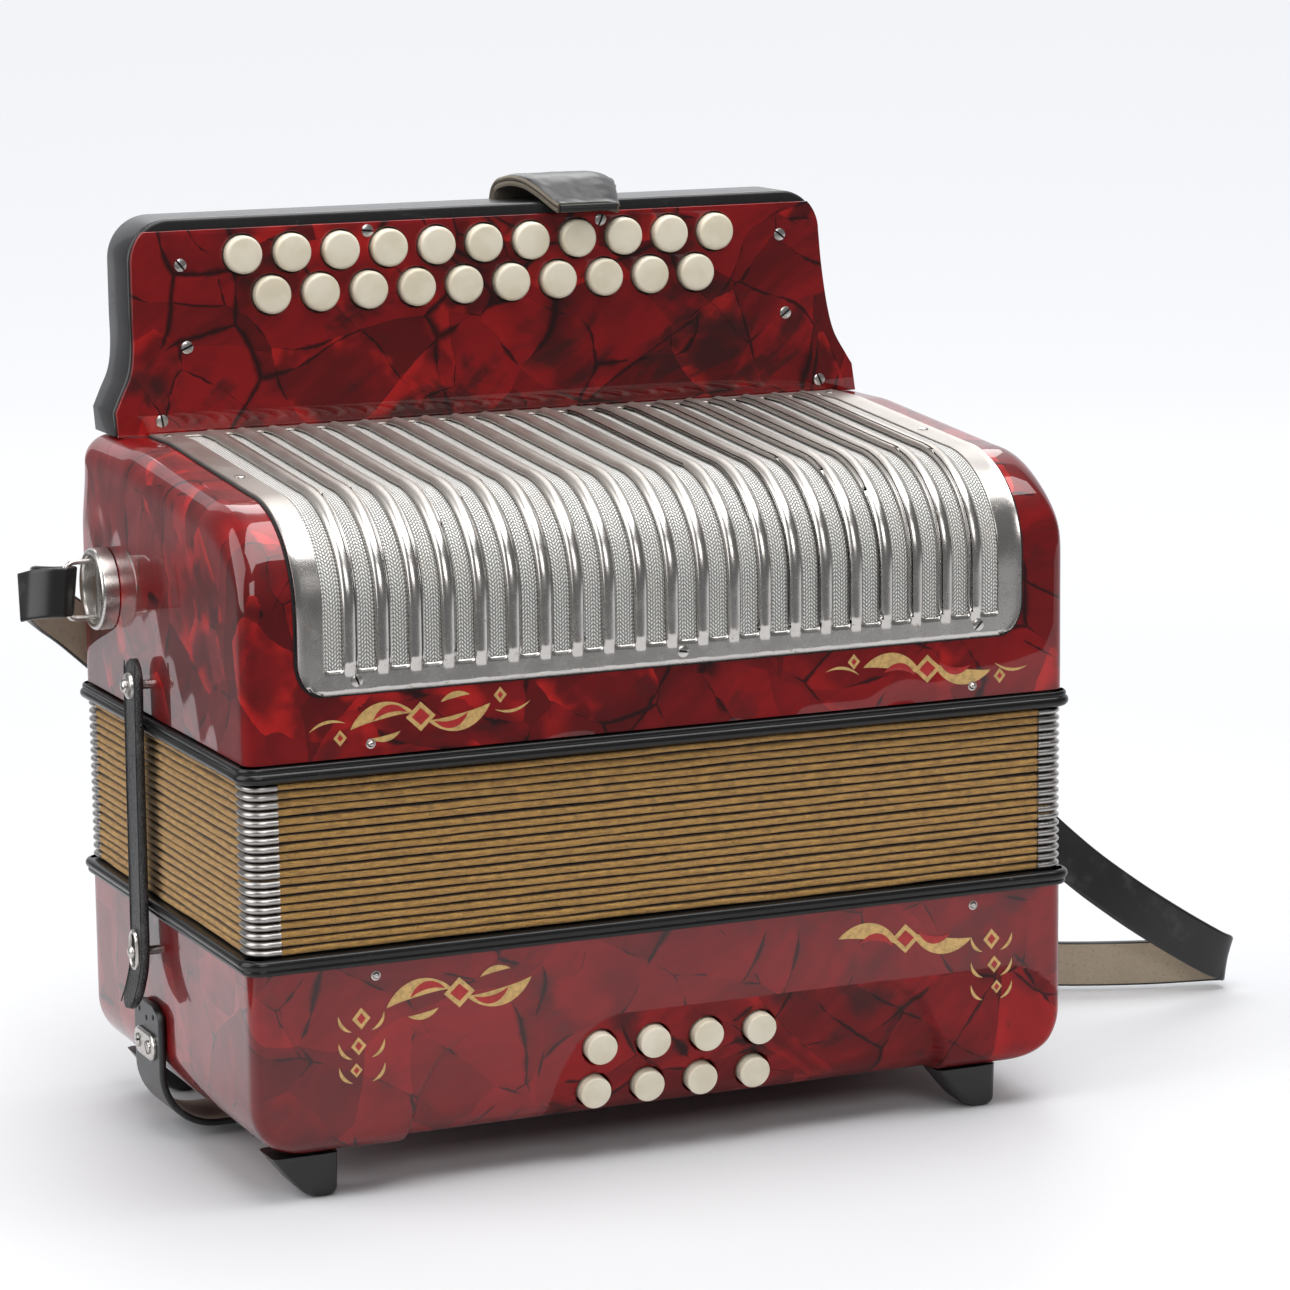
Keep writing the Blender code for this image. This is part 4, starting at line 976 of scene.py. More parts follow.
def buttons():
    for number, (x, z) in enumerate(TREBLE_SPOTS, 1):
        name = f"treble_button_{number:02d}"
        button(name, (x, BOARD_FRONT, z), (0, -1, 0), 6.3, 3.0, name + "_body")
    for number, (x, z) in enumerate(BASS_SPOTS, 1):
        name = f"bass_button_{number}"
        button(name, (x, *floor_of_recess(z)), BASS_FACING, 5.2, 2.8, name + "_body", 0.55)
    button("air_button", AIR_BUTTON, (0, 1, 0), 7.0, 4.5, "air_button_body")


# ---- screws and pins ---------------------------------------------------------------------------------
def screw(shape, centre, axis, radius, height, slot_angle, groove=0.5):
    """A slotted head: a dome over a disc, in strips across the slot, whose floor is a flat strip."""
    side, over = frame_of(axis)
    c, s = math.cos(slot_angle), math.sin(slot_angle)
    u_way, v_way = side * c + over * s, over * c - side * s
    wide = 0.16
    u = np.array([-1, -0.96, -0.85, -0.6, -0.35, -wide, -wide, wide, wide, 0.35, 0.6, 0.85, 0.96, 1])
    deep = np.array([0, 0, 0, 0, 0, 0, 1, 1, 0, 0, 0, 0, 0, 0]) * groove
    v = np.array([-1, -1, -0.95, -0.8, -0.45, 0, 0.45, 0.8, 0.95, 1, 1])
    chord = np.sqrt(np.clip(1 - u**2, 0, 1))
    uu, vv = np.meshgrid(u, v, indexing="ij")
    vv = vv * chord[:, None]
    rise = height * (0.35 + 0.65 * np.sqrt(np.clip(1 - 0.92 * (uu**2 + vv**2), 0, 1))) - deep[:, None]
    rise[:, 0] = rise[:, -1] = 0
    rise[0] = rise[-1] = 0
    points = np.asarray(centre) + radius * (uu[..., None] * u_way + vv[..., None] * v_way)
    points = points + rise[..., None] * np.asarray(axis)
    # The strips of the slot take the second finish, near black: painted shade in the slot.
    strips = np.zeros((len(u) - 1, len(v) - 1), int)
    strips[5:8] = 1
    index = shape.grid(points, slot=strips)
    shape.cap(np.concatenate([index[:, 0], index[-1, 1:], index[::-1, -1][1:], index[0, ::-1][1:-1]]))


def plate_screws():
    spots = [(-111.4, 277.4), (-109.8, 250.5), (-119.1, 226.8), (-46.3, 285.8), (37.7, 285.8)]
    spots += [(104.7, 277.7), (106.8, 250.6), (119.7, 226.6)]
    shape = Shape()
    for turn, (x, z) in enumerate(spots):
        screw(shape, (x, BOARD_FRONT + 0.05, z), (0, -1, 0), 2.1, 0.75, 0.7 + turn * 1.3)
    shape.make("fingerboard_screws", [NICKEL, HOLE], "treble_body", "nickel", crease=40)
    shape = Shape()
    for turn, x in enumerate((-104.7, 3.8, 108.0)):
        screw(shape, on_skin(x, run_at_z(162.6), 0.75), (0, -1, 0), 1.9, 0.8, 0.4 + turn)
    for x in (-119.6, 119.6):
        screw(shape, on_skin(x, run_at_y(-22), 0.8), (0, -0.08, 0.997), 1.7, 0.7, 0.9)
        screw(shape, on_skin(x, run_at_y(48), 0.8), (0, 0, 1), 1.7, 0.7, 2.0)
    shape.make("grille_screws", [NICKEL, HOLE], "treble_body", "nickel", crease=40)


def pin(shape, centre, axis, radius=1.15):
    """A domed head on a thin washer."""
    washer = radius * 1.35
    dome = [(0, 1.3), (radius * 0.5, 1.2), (radius * 0.85, 0.8), (radius, 0.2)]
    turned(shape, centre, axis, dome + [(washer, 0.1), (washer, -0.2), (0, -0.2)], 20)


def bellows_pins():
    """The pins through both ends' walls, along the bellows frames, front and back."""
    for name, body, z, xs in (
        ("treble_pins", "treble_body", 142.6, (-100.4, 106.3)),
        ("bass_pins", "bass_body", 70.0, (-100.4, 106.7)),
    ):
        shape = Shape()
        for x in xs:
            pin(shape, (x, -HALF_Y, z), (0, -1, 0))
            pin(shape, (x, HALF_Y, z), (0, 1, 0))
        shape.make(name, [NICKEL], body, "nickel")


# ---- bellows -----------------------------------------------------------------------------------------
def unsmooth(weight):
    """The place from 0 to 1 where the smooth step 3t^2 - 2t^3 has that value."""
    return 0.5 - math.sin(math.asin(1 - 2 * weight) / 3)


def carried(outline, out, bar):
    """A section of (how far out, height) pairs carried round a level outline."""
    level = outline[:, None] + out[:, None] * bar[None, :, :1]
    return np.concatenate([level, np.broadcast_to(bar[:, 1:], (*level.shape[:2], 1))], -1)


def fold_leaf(number):
    """One fold of cloth: a loop round the box times a round-backed pleat, whose crest wanders a little."""
    low, high = BELLOWS_LOW + PITCH * number, BELLOWS_LOW + PITCH * (number + 1)
    outline = evenly(rectangle(140.0, 81.6, 6.0, 8, 60, 36), 340, closed=True)
    out = outward(outline, closed=True)
    run = np.arange(len(outline)) * np.linalg.norm(outline[1] - outline[0])
    v = (1 - np.cos(np.pi * np.linspace(0, 1, 13))) / 2
    pleat = 0.5 * np.abs(2 * v - 1) ** 2 + 5.7 * np.abs(2 * v - 1) ** 9
    level = np.column_stack([outline, np.zeros(len(outline))])
    wander = ripple(level, 100 + number, 26.0) * 0.22
    tilt = ripple(level, 300 + number, 38.0) * 0.22 + ripple(level, 500 + number, 150.0) * 0.28
    middle = 1 - np.abs(2 * v - 1) ** 3
    inset = pleat[None, :] + wander[:, None] * middle
    z = low + (high - low) * v[None, :] + tilt[:, None] * middle
    points = np.concatenate([outline[:, None] - out[:, None] * inset[..., None], z[..., None]], -1)
    shape = Shape()
    flat = (np.append(run, run[-1] + run[1]) + number * 37.0, v)
    shape.grid(points, around=True, flat=flat)
    inner = np.array([(-6.2, high), (-12.0, high), (-12.0, low), (-6.2, low)])
    shape.grid(carried(outline, out, inner), around=True)
    leaf = shape.make(f"bellows_fold_{number + 1:02d}", [GOLD_CLOTH], None, "bellows_cloth", crease=60)
    t_low, t_high = unsmooth(number / FOLDS), unsmooth((number + 1) / FOLDS)
    reach = (high - low) / (t_high - t_low)
    start = (low - t_low * reach) * MM
    start + reach * MM
    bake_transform(leaf)
    return leaf


def fold_clips(number):
    """The four metal corners of a fold: half-round beads bent round the corner, with closed ends."""
    middle = BELLOWS_LOW + PITCH * (number + 0.5)
    bead = arc(0, 0, (2.1, PITCH * 0.47), -90, 90, 8)
    shape = Shape()
    for sx, sy in ((1, 1), (-1, 1), (-1, -1), (1, -1)):
        corner = arc(134.6, 76.2, 6.0, 0, 90, 8)
        end_arm = [(140.6, 72.7 - 5.0 * t) for t in (0.2, 0.1, 0)]
        front_arm = [(130.4 + 3 * t, 82.2) for t in (1, 0.5, 0.1, 0)]
        line = np.vstack([end_arm, corner, front_arm])
        out = outward(line)
        taper = np.ones(len(line))
        taper[[0, -1]] = 0.55
        reach = (bead[None, :, 0] * taper[:, None] - 1.9)[..., None]
        flat = line[:, None] + out[:, None] * reach
        z = np.broadcast_to(middle + bead[None, :, 1] * taper[:, None], flat.shape[:2])
        points = np.dstack([flat * (sx, sy), z])
        index = shape.grid(points)
        back = line - out * 3.0
        back = np.column_stack([back * (sx, sy), np.full(len(line), middle)])
        rear = shape.grid(back[:, None] + np.array([(0, 0, -1.0), (0, 0, 1.0)])[None])
        for a, b in ((index[:, -1], rear[:, 1]), (rear[:, 0], index[:, 0])):
            for i in range(len(line) - 1):
                shape.cap((a[i], a[i + 1], b[i + 1], b[i]))
        for end in (0, -1):
            shape.cap([*index[end], rear[end][1], rear[end][0]])
    clips = shape.make(f"corner_clips_{number + 1:02d}", [NICKEL_CLIPS], None, "nickel", crease=50)
    share = unsmooth((number + 0.5) / FOLDS)
    long = 10.0  # metres
    start = middle * MM - share * long
    start + long
    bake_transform(clips)


def bellows():
    leaves = [fold_leaf(number) for number in range(FOLDS)]
    for number in range(FOLDS):
        fold_clips(number)
    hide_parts("bellows")


def bellows_frame(name, bottom, upward, body, node):
    """A black moulding carried round the box: a round bead on the bellows' side and a fine ridge beyond."""
    bead = arc(-1.75, 1.75, 1.75, -90, 62, 10)
    ridge = arc(-1.55, 3.95, (0.75, 1.05), -40, 90, 8)
    nose = np.vstack([bead, ridge]) * (1, upward) + (0, bottom + (FRAME_TALL if upward < 0 else 0))
    bar = np.vstack([nose, [(-14, nose[-1, 1]), (-14, nose[0, 1])]])
    outline = rectangle(HALF_X + 2.7, HALF_Y + 2.7, 7.0, 8, 40, 24)
    shape = Shape()
    shape.grid(carried(outline, outward(outline, closed=True), bar), around=True, across=True)
    shape.make(name, [BLACK_GLOSS], body, "black_lacquer", [node], crease=45)


# ---- fingerboard -------------------------------------------------------------------------------------
def board_outline(inset):
    """The fingerboard's outline: upright sides that flare at the foot, and round top corners."""
    left_x, right_x, corner = -128.6, 120.4, 14
    shoulder = BOARD_TOP - corner
    left = [(-134.4, 222.3), (-135.0, 230.2), (-132.6, 235.6), (-129.6, 242.4), (-128.5, 250.5)]
    left += [(left_x, 262), (left_x, shoulder)]
    right = [(right_x, shoulder), (121.6, 266), (123.8, 252), (126.4, 242.8), (130.8, 235.2)]
    right += [(133.2, 231.4), (134.5, 222.3)]
    smooth_left, smooth_right = flow(left[1:], 40), flow(right[:-1], 40)
    corner_left = arc(left_x + corner, shoulder, corner, 180, 90, 14)
    corner_right = arc(right_x - corner, shoulder, corner, 90, 0, 14)
    line = np.vstack([left[0], smooth_left, corner_left[1:], corner_right, smooth_right[1:], right[-1]])
    line = line[np.concatenate([[True], np.linalg.norm(np.diff(line, axis=0), axis=1) > 0.05])]
    line[:, 0] -= np.sign(line[:, 0]) * inset
    line[:, 1] = np.maximum(line[:, 1], BOARD_FOOT)
    return line


def fingerboard_body():
    """The outline carried through the board's thickness, drawn in at the front and back by small arcs."""
    front, back, front_round, back_round = 58.5, 81.9, 1.3, 1.8
    foot_x = np.linspace(134.3, -134.2, 60)[1:-1]
    ring = np.vstack([board_outline(0), np.column_stack([foot_x, np.full(len(foot_x), BOARD_FOOT)])])
    inwards = outward(ring, closed=True)
    quarter = [(1 - math.sin(a), 1 - math.cos(a)) for a in np.radians(np.linspace(0, 90, 7))]
    edges = [(front, 9.0), (front, front_round)]
    edges += [(front + front_round * deep, front_round * inset) for deep, inset in quarter[::-1][1:]]
    edges += [(back - back_round * deep, back_round * inset) for deep, inset in quarter]
    edges += [(back, 9.0)]
    rows = []
    for y, inset in edges:
        moved = ring + inwards * inset
        moved[:, 1] = np.maximum(moved[:, 1], BOARD_FOOT)
        rows.append(np.column_stack([moved[:, 0], np.full(len(ring), y), moved[:, 1]]))
    shape = Shape()
    index = shape.grid(np.array(rows), across=True)
    shape.close(index)
    nodes = ["fingerboard_body"]
    shape.make("fingerboard_core", [BLACK_WOOD], "treble_body", "black_lacquer", nodes, crease=50)


def fingerboard_plate():
    """A flat curve with 21 round holes, given thickness and a fine bevel, then made a mesh."""
    curve = bpy.data.curves.new("plate_outline", "CURVE")
    curve.dimensions, curve.fill_mode = "2D", "BOTH"
    half_thick, bevel, hole, plate_top = 0.65, 0.25, 6.95, 288.4
    curve.extrude, curve.bevel_depth, curve.bevel_resolution = half_thick * MM, bevel * MM, 2
    outline = board_outline(0.9)
    outline[:, 1] = np.minimum(outline[:, 1], plate_top)
    circles = [arc(x, z, hole + bevel, 0, 360, 48)[:-1] for x, z in TREBLE_SPOTS]
    for ring in [outline, *circles]:
        spline = curve.splines.new("POLY")
        spline.points.add(len(ring) - 1)
        flat = np.column_stack([ring * MM, np.zeros(len(ring)), np.ones(len(ring))])
        spline.points.foreach_set("co", flat.ravel())
        spline.use_cyclic_u = True
    drawn = bpy.data.objects.new("plate_outline", curve)
    bpy.context.scene.collection.objects.link(drawn)
    mesh = bpy.data.meshes.new_from_object(drawn.evaluated_get(bpy.context.evaluated_depsgraph_get()))
    bpy.data.objects.remove(drawn)
    turn = Matrix(((1, 0, 0), (0, 0, -1), (0, 1, 0))).to_4x4()
    place = Vector(ORIGIN) + Vector((0, BOARD_FRONT + half_thick + bevel, 0)) * MM
    mesh.transform(Matrix.Translation(place) @ turn)
    mesh.materials.clear()
    mesh.materials.append(RED_PLATE)
    bm = bmesh.new()
    bm.from_mesh(mesh)
    bmesh.ops.remove_doubles(bm, verts=bm.verts, dist=2e-6)
    bmesh.ops.recalc_face_normals(bm, faces=bm.faces)
    bm.to_mesh(mesh)
    bm.free()
    mesh.shade_smooth()
    mesh.set_sharp_from_angle(angle=math.radians(40))
    piece = bpy.data.objects.new("fingerboard_red_plate", mesh)
    bpy.context.scene.collection.objects.link(piece)
    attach(piece, "treble_body")
    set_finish(piece, "red_celluloid")
    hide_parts("fingerboard_plate")


# ---- leather -----------------------------------------------------------------------------------------
def band(shape, centre, across, width, thickness, finishes=(0, 0, 0), pillow=0.0):
    """A strap: at each station of its path a rounded bar, wide along across and thick along the normal of
    the two. finishes are the slots of its upper side, edges and under side. pillow swells its middle."""
    centre = np.asarray(centre, float)
    count = len(centre)
    along = unit(np.gradient(centre, axis=0))
    across = np.broadcast_to(np.asarray(across, float), centre.shape)
    across = unit(across - (across * along).sum(1, keepdims=True) * along)
    normal = np.cross(along, across)
    width = np.broadcast_to(np.asarray(width, float), count)
    thickness = np.broadcast_to(np.asarray(thickness, float), count)
    w = [-1, -0.93, -0.8, -0.5, 0, 0.5, 0.8, 0.93, 1]
    edge = [(math.cos(a), math.sin(a)) for a in np.radians([60, 30, 0, -30, -60])]
    sections = []
    for half, thick in zip(width / 2, thickness / 2):
        round_in = min(thick, half * 0.9)
        flat = half - round_in
        top = [(flat * t, thick * (1 + pillow * (1 - t * t))) for t in w]
        side = [(flat + round_in * c * 0.8, thick * s) for c, s in edge]
        under = [(-x, -thick) for x, _ in top]
        left = [(-x, -z) for x, z in side]
        sections.append(top + side + under + left)
    sections = np.array(sections)
    points = centre[:, None] + across[:, None] * sections[..., :1] + normal[:, None] * sections[..., 1:]
    upper, rim, lower = finishes
    n_flat, n_edge = len(w) - 1, len(edge) + 1
    slots = [upper] * n_flat + [rim] * n_edge + [lower] * n_flat + [rim] * n_edge
    run = run_of(centre)
    flat = (run, np.arange(sections.shape[1] + 1))
    index = shape.grid(points, across=True, slot=np.array(slots), flat=flat)
    shape.close(index, rim)


def rounded_ends(run, width, radius):
    """A strap's width along its run, drawn in by a circle towards both ends, and less for a small radius."""
    size = np.full(len(run), float(width))
    power = min(1, 2 * radius / width)
    for far in (run - run[0], run[-1] - run):
        near = np.clip(far, 0, radius) / radius
        size *= np.sqrt(np.clip(1 - (1 - near) ** 2, 0.02, 1)) ** power
    return size


def end_packed(count):
    """Parameters from 0 to 1 that crowd towards both ends."""
    return (1 - np.cos(np.linspace(0, np.pi, count))) / 2


def bellows_straps():
    """Straps with round ends and a pressed line along each edge, and the pegs and eyelets that hold them."""
    peg_y = 14.0
    for side, sign in (("left", -1), ("right", 1)):
        line = [(144.6, 157.0), (144.8, PEG_HEIGHT), (145.0, 130), (145.1, 100), (145.2, 75)]
        line += [(145.4, 60), (147.0, 51), (149.6, 43.0)]
        fine = flow(line, 400)
        run = run_of(fine)
        at = np.interp(end_packed(90) * run[-1], run, np.arange(400))
        fine = np.stack([np.interp(at, np.arange(400), fine[:, i]) for i in (0, 1)], 1)
        centre = np.column_stack([sign * fine[:, 0], np.full(len(fine), peg_y), fine[:, 1]])
        shape = Shape()
        width = rounded_ends(run_of(centre), 14.0, 7.0)
        band(shape, centre, (0, -sign, 0), width, thickness=2.7, pillow=0.12)
        for y in (-5.3, 5.3):
            inner = centre[6:-6] + (sign * 1.42, y, 0)
            band(shape, inner, (0, -sign, 0), width=0.55, thickness=0.45)
        name = f"bellows_strap_{side}"
        shape.make(name + "_leather", [PEBBLE], name + "_body", "black_leather", [name], crease=60)
        metal = Shape()
        axis = np.array((sign, 0, 0))
        grommet = [(1.9, -0.3), (1.9, 0.9), (3.4, 0.95), (4.2, 0.5), (4.4, -0.3)]
        turned(metal, (sign * 146.5, peg_y, PEG_HEIGHT), axis, grommet, 32)
        eyelet = np.vstack([arc(15.0, 64.5, 3.3, 0, 180, 12), arc(15.0, 59.0, 3.3, 180, 360, 12)])
        rounding = arc(0, 0, 0.75, 0, 360, 10)[:-1]
        ring = eyelet[:, None] + outward(eyelet, closed=True)[:, None] * rounding[None, :, :1]
        tube = np.dstack([np.full(ring.shape[:2], sign * 147.0) + sign * rounding[None, :, 1], ring])
        metal.grid(tube, around=True, across=True)
        metal.make(f"{name}_eyelets", [NICKEL], name + "_body", "nickel")
        pegs = (("upper", "treble_body", peg_y, PEG_HEIGHT), ("lower", "bass_body", 15.0, 61.0))
        for where, body, y, z in pegs:
            peg = Shape()
            profile = [(0, 8.6), (1.3, 8.5), (2.1, 7.9), (2.3, 7.2), (1.9, 6.6), (1.5, 6.2), (1.5, 0), (0, 0)]
            turned(peg, (sign * HALF_X, y, z), axis, profile, 24)
            peg.make(f"{where}_peg_{side}", [NICKEL], body, "nickel", crease=50)


def hand_strap():
    """A smooth strap down one side, slack under the box and up the other, with its oval clamping plates."""
    turn = 18.0
    side, low = 142.1, 4.2
    quarter = arc(turn - side, low + turn, turn, 180, 270, 16)
    left = np.vstack([[(-side, z) for z in (43.5, 40, 36, 32, 27)], quarter])
    base = [(x, low) for x in np.linspace(-118, 118, 40)]
    line = np.vstack([left, base, (left * (-1, 1))[::-1]])
    centre = np.column_stack([line[:, 0], np.full(len(line), HAND_Y), line[:, 1]])
    centre = evenly(centre, 180)
    shape = Shape()
    width = rounded_ends(run_of(centre), 27.0, 4.0)
    band(shape, centre, (0, -1, 0), width, thickness=2.3, finishes=(0, 0, 1))
    shape.make("hand_strap_leather", [SMOOTH, FLESH], "bass_body", "black_leather", ["hand_strap"], crease=60)
    half_long, oval_z, rounding = 5.5, 30.0, 4.5
    for name, sign in (("left", -1), ("right", 1)):
        plate = Shape()
        front, rear = HAND_Y - half_long, HAND_Y + half_long
        rear_round = arc(rear, oval_z, rounding, -90, 90, 16)
        oval = np.vstack([rear_round, arc(front, oval_z, rounding, 90, 270, 16)])
        x = sign * 143.35
        rows = []
        for inset, rise in ((0, 0), (0, 0.7), (0.3, 1.05), (0.9, 1.2), (2.6, 1.25)):
            middle = np.stack([np.clip(oval[:, 0], front, rear), np.full(len(oval), oval_z)], 1)
            inner = middle + (oval - middle) * (1 - inset / rounding)
            rows.append(np.column_stack([np.full(len(oval), x + sign * rise), inner]))
        index = plate.grid(np.array(rows), across=True)
        plate.close(index)
        for y, turn_by in ((HAND_Y - 5.2, 0.5), (HAND_Y + 5.2, 1.9)):
            screw(plate, (x + sign * 1.2, y, oval_z), (sign, 0, 0), 2.3, 1.0, turn_by, 0.6)
        # Near-black discs on the strap where its holes are: painted shade in the holes.
        holes = Shape()
        for y, z in ((HAND_Y - 7, 40.0), (HAND_Y, 38.5), (HAND_Y + 7, 40.0)):
            hole = [(0, 0.06), (0.9, 0.06), (0.9, -0.5), (0, -0.5)]
            turned(holes, (sign * 143.27, y, z), (sign, 0, 0), hole, 20)
        nodes = [f"hand_strap_plate_{name}"]
        plate.make(f"hand_strap_oval_plate_{name}", [NICKEL, HOLE], "bass_body", "nickel", nodes, crease=40)
        holes.make(f"hand_strap_holes_{name}", [HOLE], "bass_body", "black_leather")


def thumb_strap():
    """A doubled band arched over the fingerboard's top from back to front, where it folds under itself. It
    narrows towards the front, and its right edge droops."""
    line = [
        (84.2, 279.0), (84.2, 284), (84.2, 289.0), (83.4, 293.4), (80.6, 297.2), (76.5, 299.2),
        (71.5, 299.9), (66.0, 299.2), (60.5, 296.9), (56.0, 294.2), (52.8, 292.2), (50.6, 291.2),
    ]  # fmt: skip
    fine = evenly(flow(line, 200), 60)
    forward = np.clip((HALF_Y - fine[:, 0]) / 31.0, 0, 1)
    left, right = 9.0 + 11.0 * forward**1.3, 54.0 - 12.0 * forward**0.8
    u = np.linspace(-1, 1, 25)
    droop = 3.4 * np.clip((u - 0.45) / 0.55, 0, 1) ** 2 + 0.5 * np.clip((-u - 0.8) / 0.2, 0, 1) ** 2
    rise = np.sin(np.pi * np.clip((fine[:, 1] - 289.0) / 11.0, 0, 1) / 2) * np.clip(forward * 6, 0, 1)
    spots = np.stack(np.meshgrid(fine[:, 0], u * 16, [0.0], indexing="ij"), -1)[:, :, 0]
    crease = ripple(spots, 41, 7.0) * 0.12
    x = left[:, None] + (right - left)[:, None] * (u[None, :] + 1) / 2
    out = outward(fine)
    upper = len(u) - 1
    shape = Shape()
    for band_levels in ((-0.2, 1.3), (-2.2, -0.5)):
        layers = []
        for lift in band_levels:
            level = lift + crease * (lift > 0)
            yz = fine[:, None] + out[:, None] * level[..., None]
            z = yz[..., 1] - droop[None, :] * rise[:, None]
            layers.append(np.dstack([x, yz[..., 0], z]))
        under, over = layers
        bulge = (under + over) / 2
        rim = [bulge[:, -1] + (0.5, 0, 0), bulge[:, 0] - (0.5, 0, 0)]
        loop = np.concatenate([over, rim[0][:, None], under[:, ::-1], rim[1][:, None]], 1)
        index = shape.grid(loop, across=True, slot=np.array([0] * upper + [1] * (loop.shape[1] - upper)))
        shape.close(index, 1)
    fold = np.array([(20.4 + t, 50.9, 290.6) for t in np.linspace(0, 20.6, 14)])
    band(shape, fold, (0, 0.35, 0.94), width=3.6, thickness=2.6)
    nodes = ["thumb_strap"]
    shape.make("thumb_strap_leather", [SMOOTH, FLESH_GREY], "treble_body", "black_leather", nodes, crease=60)


# The shoulder strap's middle line, and beside each point the way that its width points there.
SHOULDER = [
    (-155.6, 52.0, 174.0, 0.00, 0.00, 1.00), (-158.6, 53.2, 174.0, 0.00, 0.00, 1.00),
    (-161.4, 56.2, 173.8, 0.06, 0.04, 1.00), (-162.8, 61.5, 173.2, 0.12, 0.08, 1.00),
    (-161.8, 68.0, 171.6, 0.20, 0.08, 1.00), (-157.8, 76.0, 168.4, 0.35, 0.05, 0.94),
    (-150.0, 84.5, 162.5, 0.50, 0.00, 0.87), (-138.0, 91.0, 153.0, 0.60, 0.00, 0.80),
    (-114.0, 94.0, 130.0, 0.65, 0.00, 0.80), (-82.0, 95.0, 95.0, 0.65, 0.00, 0.80),
    (-45.0, 97.0, 62.0, 0.62, 0.00, 0.82), (-8.0, 99.0, 35.0, 0.48, 0.00, 0.90),
    (32.0, 100.0, 17.0, 0.25, 0.00, 0.97),
    (78.0, 100.0, 10.6, 0.06, 0.00, 1.00), (120.0, 97.0, 9.8, 0.00, 0.00, 1.00),
    (156.0, 84.0, 9.7, 0.00, 0.00, 1.00), (184.0, 64.0, 9.7, 0.00, 0.00, 1.00),
    (212.0, 46.0, 9.7, 0.00, 0.00, 1.00), (238.0, 35.0, 9.7, 0.00, 0.00, 1.00),
    (257.0, 30.0, 9.8, 0.06, 0.00, 1.00), (265.0, 27.0, 10.2, 0.16, 0.00, 1.00),
    (265.5, 23.0, 11.2, 0.24, 0.00, 1.00), (258.0, 21.0, 15.0, 0.34, 0.00, 0.94),
    (242.0, 22.5, 25.0, 0.46, 0.00, 0.88), (225.0, 26.0, 37.0, 0.50, 0.05, 0.86),
    (208.0, 31.0, 51.0, 0.55, 0.12, 0.82), (191.0, 37.0, 69.0, 0.62, 0.30, 0.70),
    (176.0, 43.0, 91.0, 0.62, 0.62, 0.45), (165.0, 48.0, 115.0, 0.42, 0.88, 0.20),
    (157.0, 51.0, 140.0, 0.16, 0.98, 0.05), (152.2, 52.0, 156.0, 0.00, 1.00, 0.00),
    (150.7, 52.0, 162.0, 0.00, 1.00, 0.00),
]  # fmt: skip


def shoulder_strap():
    """Black leather with a beige flesh side: the long strap between the rings, a short tail that turns round
    the left ring's wire, and the stud through it."""
    rows = flow(SHOULDER, 420)
    shape = Shape()
    band(shape, rows[:, :3], rows[:, 3:], width=17.0, thickness=2.2, finishes=(1, 0, 0))
    tail = [(-153.6, 50.4, 174.0), (-156.4, 49.6, 174.0), (-160.6, 51.8, 173.8), (-164.6, 56.6, 172.9)]
    tail = evenly(flow(np.array([*tail, (-166.8, 63.0, 171.2)]), 60), 40)
    loose = np.vstack([[(-153.2, 53.6, 174.0), (-152.3, 52.0, 174.0)], tail])
    loose = evenly(flow(loose, 120), 50)
    band(shape, loose, (0.12, 0.05, 1.0), width=16.4, thickness=1.5, finishes=(1, 0, 0))
    nodes = ["shoulder_strap"]
    shape.make("shoulder_strap_leather", [SMOOTH, FLESH], "treble_body", "black_leather", nodes, crease=60)
    stud = Shape()
    head = [(0, 1.6), (1.4, 1.5), (2.2, 0.9), (2.4, 0), (2.4, -2.0), (0, -2.0)]
    turned(stud, (-165.2, 60.6, 167.6), unit(np.array((-0.90, -0.42, 0.10))), head, 24)
    stud.make("shoulder_strap_stud", [NICKEL], "treble_body", "nickel")


